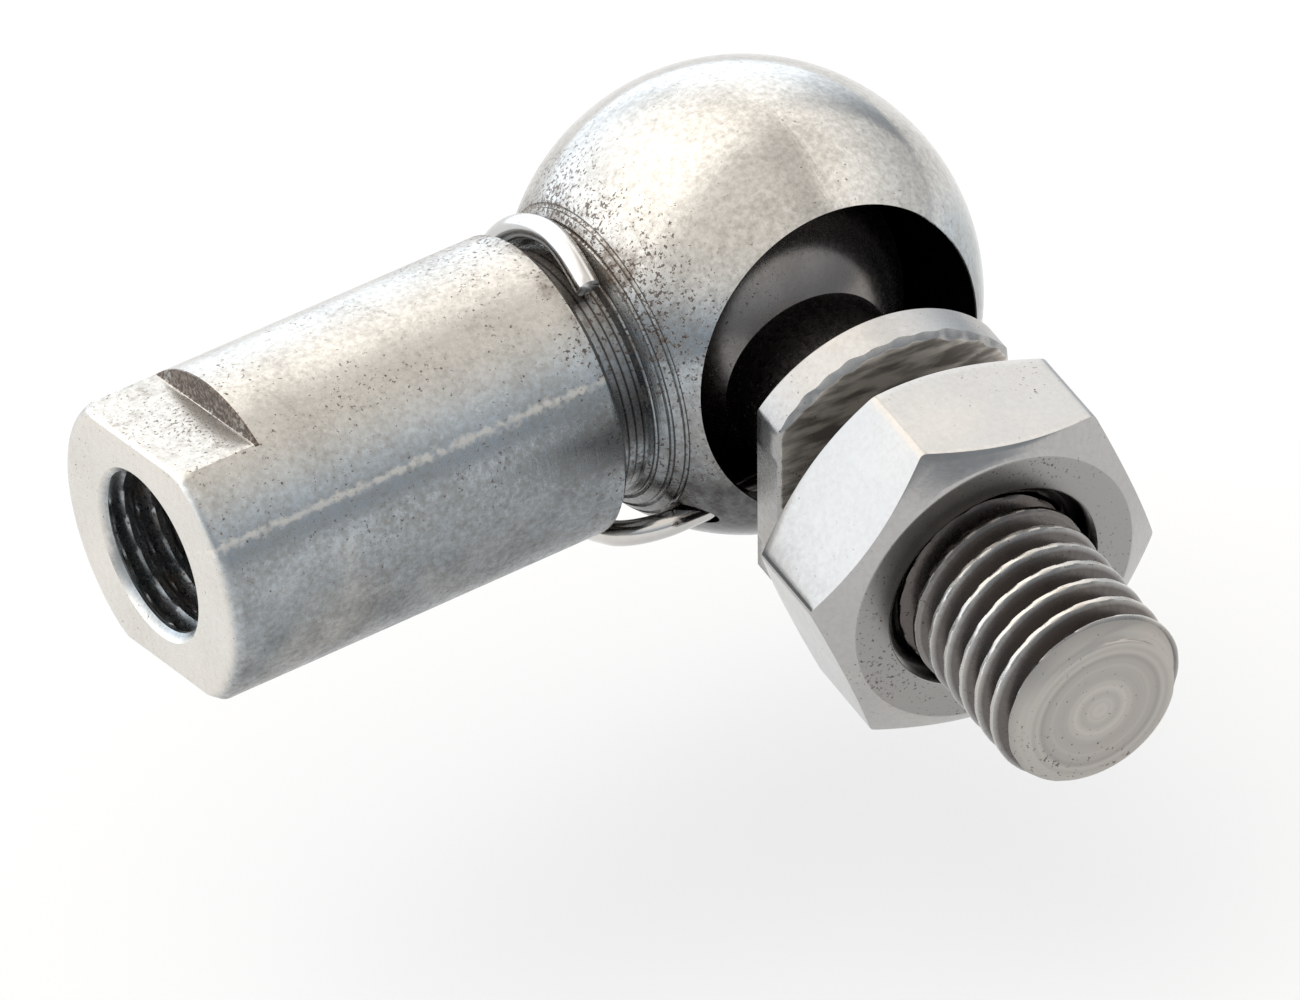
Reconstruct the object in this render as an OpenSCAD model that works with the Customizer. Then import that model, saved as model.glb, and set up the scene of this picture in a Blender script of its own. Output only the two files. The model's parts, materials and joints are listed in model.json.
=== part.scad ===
// Angle ball joint rod end: turned socket with a tapped shank, ball stud, hexagon nut and wire safety clip.
// The origin is the centre of the shank's end face. +X runs along the shank towards the ball, the ball's
// bore opens towards -Y and +Z is up. Sizes are in millimetres. A thread is a row of round grooves here.

/* [Ball and head] */
// Diameter of the ball
ball_d = 16; // [12:0.5:22]
// Radial play of the ball in its seat
ball_play = 0.1; // [0.04:0.01:0.2]
// Wall of the round head behind the seat
head_wall = 3.9; // [3:0.1:6]
// Distance from the shank's end face to the ball's centre
reach = 35; // [33:0.5:50]

/* [Shank] */
// Diameter of the shank
shank_d = 16; // [15:0.5:20]
// Rounding of the shank's end edge
end_round = 0.8; // [0.3:0.1:1.2]
// Chamfer of the shank's edge at the neck
shoulder_chamfer = 0.3; // [0.1:0.1:0.6]
// Width across the two spanner flats at the shank's end
shank_flats = 13; // [12:0.5:14.5]
// Length of the spanner flats along the shank
shank_flat_l = 4.5; // [3:0.5:8]

/* [Tapped hole] */
// Diameter of the tapped hole's wall
tap_d = 8.5; // [6.5:0.1:9.5]
// Depth of the tapped hole's wall from the end face
tap_depth = 18; // [12:0.5:20]
// Depth of the 45 degree countersink at the hole's mouth
tap_countersink = 0.4; // [0.2:0.1:0.8]
// Full angle of the drill point at the hole's bottom
drill_angle = 118; // [90:1:140]

/* [Neck] */
// How far the neck lies inside the ball's radius
neck_inset = 1.4; // [0.9:0.1:2.4]
// Width of the neck between the shank's shoulder and the round of the head
neck_w = 2; // [1.9:0.1:4]
// Number of turned grooves where the neck runs into the head
groove_count = 3; // [1:1:4]
// Distance between those grooves along the neck
groove_pitch = 0.5; // [0.4:0.05:0.7]
// Depth of each turned groove
groove_depth = 0.15; // [0.05:0.05:0.2]

/* [Ball stud] */
// Diameter of the stud's neck between the ball and the collar
stud_neck_d = 9.2; // [7:0.1:10]
// Fillet where the stud's neck meets the collar
stud_fillet = 1.2; // [0.5:0.1:2]
// Distance from the ball's centre to the collar's seating face
seat_distance = 15.3; // [14.5:0.1:22]
// Diameter of the collar
collar_d = 16.4; // [15:0.1:20]
// Thickness of the collar
collar_w = 2.4; // [1.5:0.1:3]
// Chamfer of the collar's edges
collar_chamfer = 0.2; // [0.1:0.05:0.4]
// Width across the collar's two spanner flats
collar_flats = 13; // [12:0.5:14.5]
// Outside diameter of the stud's thread
stud_d = 10; // [8:0.5:12]
// Pitch of the stud's thread
stud_pitch = 1.5; // [0.75:0.25:1.75]
// Length of the stud's thread from the seating face to the tip
stud_l = 20.1; // [18:0.1:30]
// Chamfer at the stud's tip
stud_chamfer = 0.9; // [0.4:0.1:1.2]

/* [Hexagon nut] */
// Width across the nut's flats
nut_flats = 17; // [15:0.5:19]
// Height of the nut
nut_h = 7.2; // [5:0.1:9]
// Distance from the collar's seating face to the nut
nut_gap = 2.65; // [0.5:0.05:4]
// Diameter of the flat ring on each of the nut's faces
nut_face_d = 15.5; // [14.2:0.1:16]
// Angle of the nut's corner chamfer to its face
nut_chamfer_angle = 30; // [20:1:35]
// Diameter of the countersink at the mouth of the nut's thread
nut_countersink_d = 11.8; // [10.4:0.1:13]
// Turn of the nut on the stud, from a corner that points along the shank
nut_turn = -9.5; // [-30:0.5:30]
// Radial play between the nut's wall and the stud's wall inside it
nut_play = 0.05; // [0.02:0.01:0.1]

/* [Safety clip] */
// Diameter of the clip's wire
wire_d = 1.3; // [0.9:0.1:1.6]
// Radial play of the wire in its cross hole
wire_play = 0.25; // [0.2:0.01:0.35]
// Gap that is left between the wire and each face it lies against
wire_gap = 0.12; // [0.08:0.01:0.2]
// Gap between the ball and the wire that keeps it in
ball_gap = 0.35; // [0.2:0.05:0.8]
// Radial play of the wire loop below the neck, where it starts
loop_play = 0.95; // [0.6:0.05:1.2]
// Bend radius of the corner between the straight wire and the loop, as a share of the room for it
corner_share = 0.7; // [0.5:0.05:0.8]
// Angle that the loop runs round the back of the neck and over it to its end
loop_wrap = 226; // [190:1:235]
// How far the wire's straight end stops inside the far side of the head
wire_inset = 0.8; // [0.4:0.1:1.5]

/* [Resting place] */
// Angle that the stud hangs below the bore's axis, where it rests on the clip
droop = 12.7; // [8:0.1:16]
// Angle that the stud leans from the bore's axis towards the shank
lean = 4.6; // [0:0.1:8]

/* [Hidden] */
$fn = 96;
past = 1; // how far a cut runs past the face it opens
joint_swell = 1.03; // the balls that join two bends are this much thicker than the wire

ball_r = ball_d / 2;
seat_r = ball_r + ball_play;
head_r = seat_r + head_wall;
shank_r = shank_d / 2;
neck_r = ball_r - neck_inset;
wire_r = wire_d / 2;
stud_neck_r = stud_neck_d / 2;

// Places along the shank
neck_end_x = reach - sqrt(pow(head_r, 2) - pow(neck_r, 2));
shoulder_x = neck_end_x - neck_w;
drill_tip = tap_d / 2 / tan(drill_angle / 2);

// Places along the stud, measured from the ball's centre
collar_back = seat_distance - collar_w;
nut_back = seat_distance + nut_gap;
nut_front = nut_back + nut_h;
stud_tip = seat_distance + stud_l;
// Metric threads: the pitch line and the roots lie at set shares of the depth of a sharp thread
flank_angle = 30;
thread_sharp_h = stud_pitch / 2 / tan(flank_angle);
thread_root_w = stud_pitch / 8;
thread_meet_r = stud_d / 2 - 3 / 8 * thread_sharp_h;
stud_root_r = stud_d / 2 - 17 / 24 * thread_sharp_h;
tap_root_r = tap_d / 2 + 5 / 8 * thread_sharp_h;
stud_turns = floor((stud_tip - stud_chamfer - nut_front) / stud_pitch);
tap_turns = floor((tap_depth - tap_countersink) / stud_pitch) - 1;

// The clip's straight wire passes below the stud's neck and outside the ball, which it keeps in
wire_line_r = ball_r + wire_r + ball_gap;
wire_line_angle = droop + asin((stud_neck_r + wire_r + wire_gap) / wire_line_r);
wire_line_half = sqrt(pow(head_r, 2) - pow(wire_line_r, 2));

// The clip's loop hangs below the neck and lies on it above, leaning from the shoulder to the head
loop_low_r = neck_r + wire_r + loop_play;
loop_top_r = neck_r + wire_r + wire_gap;
loop_r = (loop_low_r + loop_top_r) / 2;
loop_x = shoulder_x + wire_r + wire_gap - reach;
loop_top_x = -sqrt(pow(head_r + wire_r + 2 * wire_gap, 2) - pow(loop_top_r, 2));
loop_lean = asin((loop_top_x - loop_x) / (2 * loop_r));
corner_w = sqrt(pow(wire_line_r, 2) - pow(loop_low_r, 2));
corner_r = corner_share * corner_w;
corner_turn = 90 - wire_line_angle - atan(corner_w / loop_low_r);

// Puts children, built along +Z from the ball's centre, where the stud points
module along_stud() {
    translate([reach, 0, 0])
        rotate([droop, 0, 0])
            rotate([90, 0, -lean])
                children();
}

// Half a disc on the positive side of the turning axis
module half_disc(r) {
    intersection() {
        circle(r);
        translate([0, -r])
            square([r, 2 * r]);
    }
}

// Half section of the socket's turned outside, from the end face upwards
module socket_section() {
    translate([0, end_round])
        square([shank_r, shoulder_x - end_round - shoulder_chamfer]);
    square([shank_r - end_round, shoulder_x]);
    translate([shank_r - end_round, end_round])
        circle(end_round);
    translate([0, shoulder_x - shoulder_chamfer])
        polygon([
            [0, 0],
            [shank_r, 0],
            [shank_r - shoulder_chamfer, shoulder_chamfer],
            [0, shoulder_chamfer],
        ]);
    square([neck_r, reach]);
    difference() {
        translate([0, reach])
            half_disc(head_r);
        for (i = [0 : groove_count - 1])
            groove_section(neck_end_x + (i + 0.5) * groove_pitch);
    }
}

// Round groove turned into the head's flank at height x
module groove_section(x) {
    flank_r = sqrt(pow(head_r, 2) - pow(reach - x, 2));
    translate([flank_r, x])
        circle(groove_depth);
}

// Half section of one thread groove: a flat root at radius root_r and slanted flanks to radius open_r
module thread_groove(root_r, open_r) {
    root_half = thread_root_w / 2;
    open_half = root_half + abs(open_r - root_r) * tan(flank_angle);
    polygon([
        [root_r, -root_half],
        [root_r, root_half],
        [open_r, open_half],
        [open_r, -open_half]
    ]);
}

// Tapped hole with its thread grooves, countersink and drill point, along +Z from the end face
module tapped_hole() {
    translate([0, 0, -past])
        cylinder(d = tap_d, h = tap_depth + past);
    rotate_extrude()
        for (i = [0 : tap_turns - 1])
            translate([0, tap_countersink + (i + 0.5) * stud_pitch])
                thread_groove(tap_root_r, tap_d / 2 - past);
    translate([0, 0, tap_depth])
        cylinder(r1 = tap_d / 2, r2 = 0, h = drill_tip);
    translate([0, 0, -past])
        cylinder(r1 = tap_d / 2 + tap_countersink + past, r2 = tap_d / 2, h = tap_countersink + past);
}

// Spanner flats milled on both sides of the shank's end
module shank_flat_cuts() {
    for (side = [0, 1])
        mirror([0, 0, side])
            translate([-past, -shank_r - past, shank_flats / 2])
                cube([shank_flat_l + past, 2 * (shank_r + past), shank_r]);
}

// Straight round rod along X on the line of the clip's wire, from x0 to x1 beside the ball's centre
module wire_line(r, x0, x1) {
    translate([reach, 0, 0])
        rotate([-corner_turn, 0, 0])
            translate([x0, -corner_w, -loop_low_r])
                rotate([0, 90, 0])
                    cylinder(r = r, h = x1 - x0);
}

// Turned socket: tapped shank with spanner flats, neck, and round head with the ball's seat
module ball_socket() {
    color("silver")
        difference() {
            rotate([0, 90, 0])
                rotate_extrude()
                    socket_section();
            rotate([0, 90, 0])
                tapped_hole();
            shank_flat_cuts();
            translate([reach, 0, 0])
                sphere(seat_r);
            translate([reach, 0, 0])
                rotate([90, 0, 0])
                    cylinder(r = seat_r, h = head_r + past);
            wire_line(wire_r + wire_play, -wire_line_half - past, wire_line_half + past);
        }
}

// Half section of the stud, from the ball's centre to the tip
module stud_section() {
    half_disc(ball_r);
    square([stud_neck_r, seat_distance]);
    translate([stud_neck_r, collar_back - stud_fillet])
        difference() {
            square([stud_fillet, stud_fillet]);
            translate([stud_fillet, 0])
                circle(stud_fillet);
        }
    collar_section(collar_d / 2);
    square([thread_meet_r - nut_play / 2, nut_front]);
    thread_section();
}

// Half section of the stud's thread on its free end, in front of the nut
module thread_section() {
    difference() {
        translate([0, nut_front])
            polygon([
                [0, 0],
                [stud_d / 2, 0],
                [stud_d / 2, stud_tip - nut_front - stud_chamfer],
                [stud_d / 2 - stud_chamfer, stud_tip - nut_front],
                [0, stud_tip - nut_front]
            ]);
        for (i = [0 : stud_turns - 1])
            translate([0, stud_tip - stud_chamfer - (i + 0.5) * stud_pitch])
                thread_groove(stud_root_r, stud_d / 2 + past);
    }
}

// Half section of the collar with both edges broken
module collar_section(r) {
    translate([0, collar_back])
        polygon([
            [0, 0],
            [r - collar_chamfer, 0],
            [r, collar_chamfer],
            [r, collar_w - collar_chamfer],
            [r - collar_chamfer, collar_w],
            [0, collar_w]
        ]);
}

// Ball stud: ball, neck, collar with two spanner flats, and threaded end
module ball_stud() {
    color("gainsboro")
        along_stud()
            difference() {
                rotate_extrude()
                    stud_section();
                for (side = [0, 1])
                    mirror([side, 0, 0])
                        translate([collar_flats / 2, -collar_d / 2, collar_back - past / 2])
                            cube([collar_d / 2, collar_d, collar_w + past]);
            }
}

// Half section of a disc with its edges chamfered from the face ring outwards
module nut_chamfer_section() {
    outer_r = nut_flats / sqrt(3) + past;
    drop = (outer_r - nut_face_d / 2) * tan(nut_chamfer_angle);
    polygon([
        [0, 0],
        [nut_face_d / 2, 0],
        [outer_r, drop],
        [outer_r, nut_h - drop],
        [nut_face_d / 2, nut_h],
        [0, nut_h]
    ]);
}

// Hexagon nut with chamfered corners, its thread as a plain wall with a countersink at each end
module hex_nut() {
    wall_r = thread_meet_r + nut_play / 2;
    sink = nut_countersink_d / 2 - wall_r;
    color("whitesmoke")
        along_stud()
            translate([0, 0, nut_back])
                difference() {
                    intersection() {
                        rotate([0, 0, nut_turn])
                            cylinder(d = nut_flats * 2 / sqrt(3), h = nut_h, $fn = 6);
                        rotate_extrude()
                            nut_chamfer_section();
                    }
                    translate([0, 0, -past])
                        cylinder(r = wall_r, h = nut_h + 2 * past);
                    translate([0, 0, -past])
                        cylinder(r1 = wall_r + sink + past, r2 = wall_r, h = sink + past);
                    translate([0, 0, nut_h - sink])
                        cylinder(r1 = wall_r, r2 = wall_r + sink + past, h = sink + past);
                }
}

// Round wire bent to radius r through an angle, from +X about Z, with a ball that closes its far end
module bent_wire(r, angle) {
    rotate_extrude(angle = angle)
        translate([r, 0])
            circle(wire_r);
    rotate([0, 0, angle])
        translate([r, 0, 0])
            sphere(wire_r * joint_swell);
}

// Safety clip: straight wire through the head, round corner, short run, and the loop that grips the neck
module safety_clip() {
    color("lightgray") {
        wire_line(wire_r, loop_x + corner_r, wire_line_half - wire_inset);
        translate([reach, 0, 0])
            rotate([-corner_turn, 0, 0]) {
                translate([loop_x + corner_r, corner_r - corner_w, -loop_low_r])
                    rotate([0, 0, 180])
                        bent_wire(corner_r, 90);
                translate([loop_x, corner_r - corner_w, -loop_low_r]) {
                    sphere(wire_r * joint_swell);
                    rotate([-90, 0, 0])
                        cylinder(r = wire_r, h = corner_w - corner_r);
                }
                translate([loop_x, 0, -loop_low_r]) {
                    sphere(wire_r * joint_swell);
                    rotate([0, loop_lean, 0])
                        translate([0, 0, loop_r])
                            rotate([0, 90, 0])
                                bent_wire(loop_r, loop_wrap);
                }
            }
    }
}

ball_socket();
ball_stud();
hex_nut();
safety_clip();
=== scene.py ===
"""Looks of a stainless angle ball joint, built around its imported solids.

Sizes are in millimetres in the classes and in metres in the meshes. The frame is the solids' own: the origin is the
centre of the shank's end face, +X runs along the shank to the ball, the ball's seat opens towards -Y and +Z is up.
"""

import json
import logging
import math
from collections.abc import Sequence
from dataclasses import dataclass
from enum import Enum

import bpy
import numpy as np
from mathutils import Matrix, Vector


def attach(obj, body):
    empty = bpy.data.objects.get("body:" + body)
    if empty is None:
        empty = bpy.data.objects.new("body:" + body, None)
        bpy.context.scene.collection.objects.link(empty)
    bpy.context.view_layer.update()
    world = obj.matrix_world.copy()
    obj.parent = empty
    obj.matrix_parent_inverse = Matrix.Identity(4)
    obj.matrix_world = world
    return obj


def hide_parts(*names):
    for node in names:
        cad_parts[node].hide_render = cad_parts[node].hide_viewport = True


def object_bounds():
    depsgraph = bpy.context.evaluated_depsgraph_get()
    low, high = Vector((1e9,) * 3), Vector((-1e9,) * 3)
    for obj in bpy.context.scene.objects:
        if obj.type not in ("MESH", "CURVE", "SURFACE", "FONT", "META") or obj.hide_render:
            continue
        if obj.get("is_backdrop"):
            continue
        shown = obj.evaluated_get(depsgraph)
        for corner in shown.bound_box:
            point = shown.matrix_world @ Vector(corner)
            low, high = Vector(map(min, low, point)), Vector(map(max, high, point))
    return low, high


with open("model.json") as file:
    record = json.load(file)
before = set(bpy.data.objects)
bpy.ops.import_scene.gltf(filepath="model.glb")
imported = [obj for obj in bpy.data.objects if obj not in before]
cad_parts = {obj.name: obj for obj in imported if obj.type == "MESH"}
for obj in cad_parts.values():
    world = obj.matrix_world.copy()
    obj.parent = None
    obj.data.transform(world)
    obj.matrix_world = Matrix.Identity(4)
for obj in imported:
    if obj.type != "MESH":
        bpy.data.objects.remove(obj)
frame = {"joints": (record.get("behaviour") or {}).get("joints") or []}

log = logging.getLogger("ball_joint")

Array = np.ndarray
Piece = bpy.types.Object
Socket = bpy.types.NodeSocket
Tree = bpy.types.NodeTree
# Two places, and the value at each; straight between them and level outside
Ramp = tuple[float, float, float, float]

MM = 0.001
PER_MM = 1.0 / MM
IMAGE_WIDTH = 1300
ROOT_3 = math.sqrt(3.0)
# Width of a noise's spots where its scale is 1
NOISE_UNIT = 0.6
# Keeps a division from zero
TINY = 1e-6
# Takes the turning axis out of a place
ACROSS = (0.0, 1.0, 1.0)


class Ray(Enum):
    """Kinds of ray that see the pale floor as a backdrop."""

    CAMERA = "Is Camera Ray"
    GLOSSY = "Is Glossy Ray"
    TRANSMISSION = "Is Transmission Ray"


class Kind(Enum):
    """Kinds of shader node, with Blender's names for them."""

    AXES = "ShaderNodeSeparateXYZ"
    BLEND = "ShaderNodeMixShader"
    BUMP = "ShaderNodeBump"
    GLOW = "ShaderNodeEmission"
    JOIN = "ShaderNodeCombineXYZ"
    MAPPING = "ShaderNodeMapping"
    MATERIAL = "ShaderNodeOutputMaterial"
    MATH = "ShaderNodeMath"
    MATT = "ShaderNodeBsdfDiffuse"
    MIX = "ShaderNodeMix"
    NOISE = "ShaderNodeTexNoise"
    PATH = "ShaderNodeLightPath"
    PLACE = "ShaderNodeTexCoord"
    RANGE = "ShaderNodeMapRange"
    SKY = "ShaderNodeBackground"
    STOPS = "ShaderNodeValToRGB"
    SURFACE = "ShaderNodeBsdfPrincipled"
    VECTOR = "ShaderNodeVectorMath"
    WORLD = "ShaderNodeOutputWorld"


class Zone(Enum):
    """Places on a piece with a look of their own."""

    # Painted reflection of the room's cool light.
    COOL = "cool"
    DIRT = "dirt"
    DULL = "dull"
    POLISHED = "polished"
    # Bright metal: partly fresh metal, partly painted highlights.
    FRESH_AND_HIGHLIGHT = "fresh"
    # Painted shade.
    PAINTED_SHADE = "oily"


def linear(hex_colour: str) -> tuple[float, float, float, float]:
    """Turns an sRGB hex colour such as "#c8c4bd" into linear red, green, blue and alpha.

    Args:
        hex_colour: Six hex digits after a hash sign.

    Returns:
        Linear channels from 0 to 1, with alpha 1.
    """
    channels = np.array([int(hex_colour[i : i + 2], 16) for i in (1, 3, 5)]) / 255.0
    bent = np.where(channels <= 0.04045, channels / 12.92, ((channels + 0.055) / 1.055) ** 2.4)
    return (*bent.tolist(), 1.0)


def smooth_step(low: float, high: float, value: Array) -> Array:
    """Rises from 0 at low to 1 at high, level at both ends."""
    share = np.clip((value - low) / (high - low), 0.0, 1.0)
    return share * share * (3.0 - 2.0 * share)


def around(columns: int) -> Array:
    """Gives one turn of angles in radians as a single row, without repeating the first."""
    return np.linspace(0.0, 2.0 * np.pi, columns, endpoint=False)[None, :]


def stretch(axial: Array, radial: Array, columns: int) -> Array:
    """Spreads an outline over the columns of a turned grid.

    Args:
        axial: Places along the axis, one per row or one per row and column.
        radial: Radii, shaped like axial or to be spread over it.
        columns: Number of columns round the axis.

    Returns:
        Rows x columns x 2 array of axial place and radius.
    """
    axial = np.atleast_1d(np.asarray(axial, float))
    radial = np.atleast_1d(np.asarray(radial, float))
    axial = axial[:, None] if axial.ndim == 1 else axial
    radial = radial[:, None] if radial.ndim == 1 else radial
    rows = max(axial.shape[0], radial.shape[0])
    return np.stack([np.broadcast_to(part, (rows, columns)) for part in (axial, radial)], axis=-1)


def thread_depth(turns: Array, pitch: float, depth: float, root: float) -> Array:
    """Depth of a 60 degree thread's groove: level at its root, straight flanks, and nothing on the crest.

    Args:
        turns: Place along the axis in pitches, less the angle in turns. A groove's middle is at every half.
        pitch: Distance from crest to crest.
        depth: Depth of the groove.
        root: Width of its level bottom.

    Returns:
        Depth below the crest, shaped like turns.
    """
    from_middle = np.abs(np.mod(turns, 1.0) - 0.5) * pitch
    return np.clip(depth - (from_middle - root / 2.0) * ROOT_3, 0.0, depth)


def mark_sharp(mesh: bpy.types.Mesh, degrees: float) -> None:
    """Shades a mesh smoothly and keeps each edge crisp whose two faces turn by more than an angle.

    Args:
        mesh: Closed mesh, so that each edge has two faces.
        degrees: Largest turn that is still shaded smoothly.
    """
    mesh.shade_smooth()
    counts = np.empty(len(mesh.polygons), np.int32)
    normals = np.empty(len(mesh.polygons) * 3, np.float32)
    edges = np.empty(len(mesh.loops), np.int32)
    mesh.polygons.foreach_get("loop_total", counts)
    mesh.polygons.foreach_get("normal", normals)
    mesh.loops.foreach_get("edge_index", edges)
    faces = np.repeat(np.arange(len(counts)), counts)[np.argsort(edges, kind="stable")]
    used = np.bincount(edges, minlength=len(mesh.edges))
    first = np.cumsum(used) - used
    pair = faces[first], faces[np.minimum(first + 1, len(faces) - 1)]
    normals = normals.reshape(-1, 3)
    turn = np.einsum("ij,ij->i", normals[pair[0]], normals[pair[1]])
    sharp = (turn < math.cos(math.radians(degrees))) & (used == 2)
    mesh.attributes.new("sharp_edge", "BOOLEAN", "EDGE").data.foreach_set("value", sharp)


def skin(name: str, points: Array, closed: bool = False, crisp: float = 35.0) -> Piece:
    """Makes a closed mesh object from a grid of points whose columns wrap round.

    Where the rows wrap too the grid is a ring. Otherwise each end row is closed by a fan to its middle. Faces are
    turned round if the volume that they enclose comes out negative, so that they point outwards.

    Args:
        name: Name of the object.
        points: Rows x columns x 3 places in millimetres.
        closed: Whether the last row joins the first.
        crisp: Largest turn in degrees between faces that is shaded smoothly.

    Returns:
        The object, linked to the scene, with its mesh in metres.
    """
    rows, columns, _ = points.shape
    vertices = points.reshape(-1, 3)
    column = np.arange(columns)
    beside = (column + 1) % columns
    row = np.arange(rows if closed else rows - 1)[:, None] * columns
    after = (row + columns) % (rows * columns)
    quads = np.stack([row + column, row + beside, after + beside, after + column], axis=-1).reshape(-1, 4)
    fans = np.empty((0, 3), int)
    if not closed:
        poles = np.full(columns, rows * columns)
        last = (rows - 1) * columns
        vertices = np.concatenate([vertices, points[:1].mean(1), points[-1:].mean(1)])
        fans = np.concatenate(
            [
                np.stack([beside, column, poles], axis=-1),
                np.stack([last + column, last + beside, poles + 1], axis=-1),
            ]
        )
    triangles = np.concatenate([quads[:, [0, 1, 2]], quads[:, [0, 2, 3]], fans])
    corner = [vertices[triangles[:, i]] for i in range(3)]
    if np.einsum("ij,ij->", corner[0], np.cross(corner[1], corner[2])) < 0.0:
        quads, fans = quads[:, ::-1], fans[:, ::-1]
    mesh = bpy.data.meshes.new(name)
    mesh.from_pydata((vertices * MM).tolist(), [], quads.tolist() + fans.tolist())
    mark_sharp(mesh, crisp)
    piece = bpy.data.objects.new(name, mesh)
    bpy.context.scene.collection.objects.link(piece)
    return piece


def cut(piece: Piece, cutters: list[Piece], crisp: float) -> None:
    """Takes the cutters' volumes out of a piece and deletes them.

    Args:
        piece: Closed mesh object to cut.
        cutters: Closed mesh objects to take away.
        crisp: Largest turn in degrees between faces that is shaded smoothly afterwards.
    """
    for cutter in cutters:
        step = piece.modifiers.new(cutter.name, "BOOLEAN")
        step.operation = "DIFFERENCE"
        step.solver = "MANIFOLD"
        step.object = cutter
    depsgraph = bpy.context.evaluated_depsgraph_get()
    whole = piece.data
    piece.data = bpy.data.meshes.new_from_object(piece.evaluated_get(depsgraph))
    piece.data.name = piece.name
    piece.modifiers.clear()
    bpy.data.meshes.remove(whole)
    for cutter in cutters:
        bpy.data.meshes.remove(cutter.data)
    if "sharp_edge" in piece.data.attributes:
        piece.data.attributes.remove(piece.data.attributes["sharp_edge"])
    mark_sharp(piece.data, crisp)


def shifted(ramp: Ramp, by: float) -> Ramp:
    """Moves the two places of a ramp by a distance."""
    low, high, at_low, at_high = ramp
    return (low + by, high + by, at_low, at_high)


def add(
    tree: Tree,
    kind: Kind,
    sockets: Sequence[object] | dict[str | int, object] = (),
    out: str | int = 0,
    **settings: object,
) -> Socket | None:
    """Adds a node to a tree, sets its properties, and links or fills its inputs.

    Args:
        tree: Tree that gets the node.
        kind: Kind of node.
        sockets: Outputs to link and constants to set, in the order of the inputs or by their names or numbers.
        out: Name or number of the output that is wanted.
        settings: The node's properties.

    Returns:
        That output, or nothing where the node has none.
    """
    node = tree.nodes.new(kind.value)
    for name, value in settings.items():
        setattr(node, name, value)
    for key, value in sockets.items() if isinstance(sockets, dict) else enumerate(sockets):
        if isinstance(value, Socket):
            tree.links.new(value, node.inputs[key])
        else:
            node.inputs[key].default_value = value
    return node.outputs[out] if node.outputs else None


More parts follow.
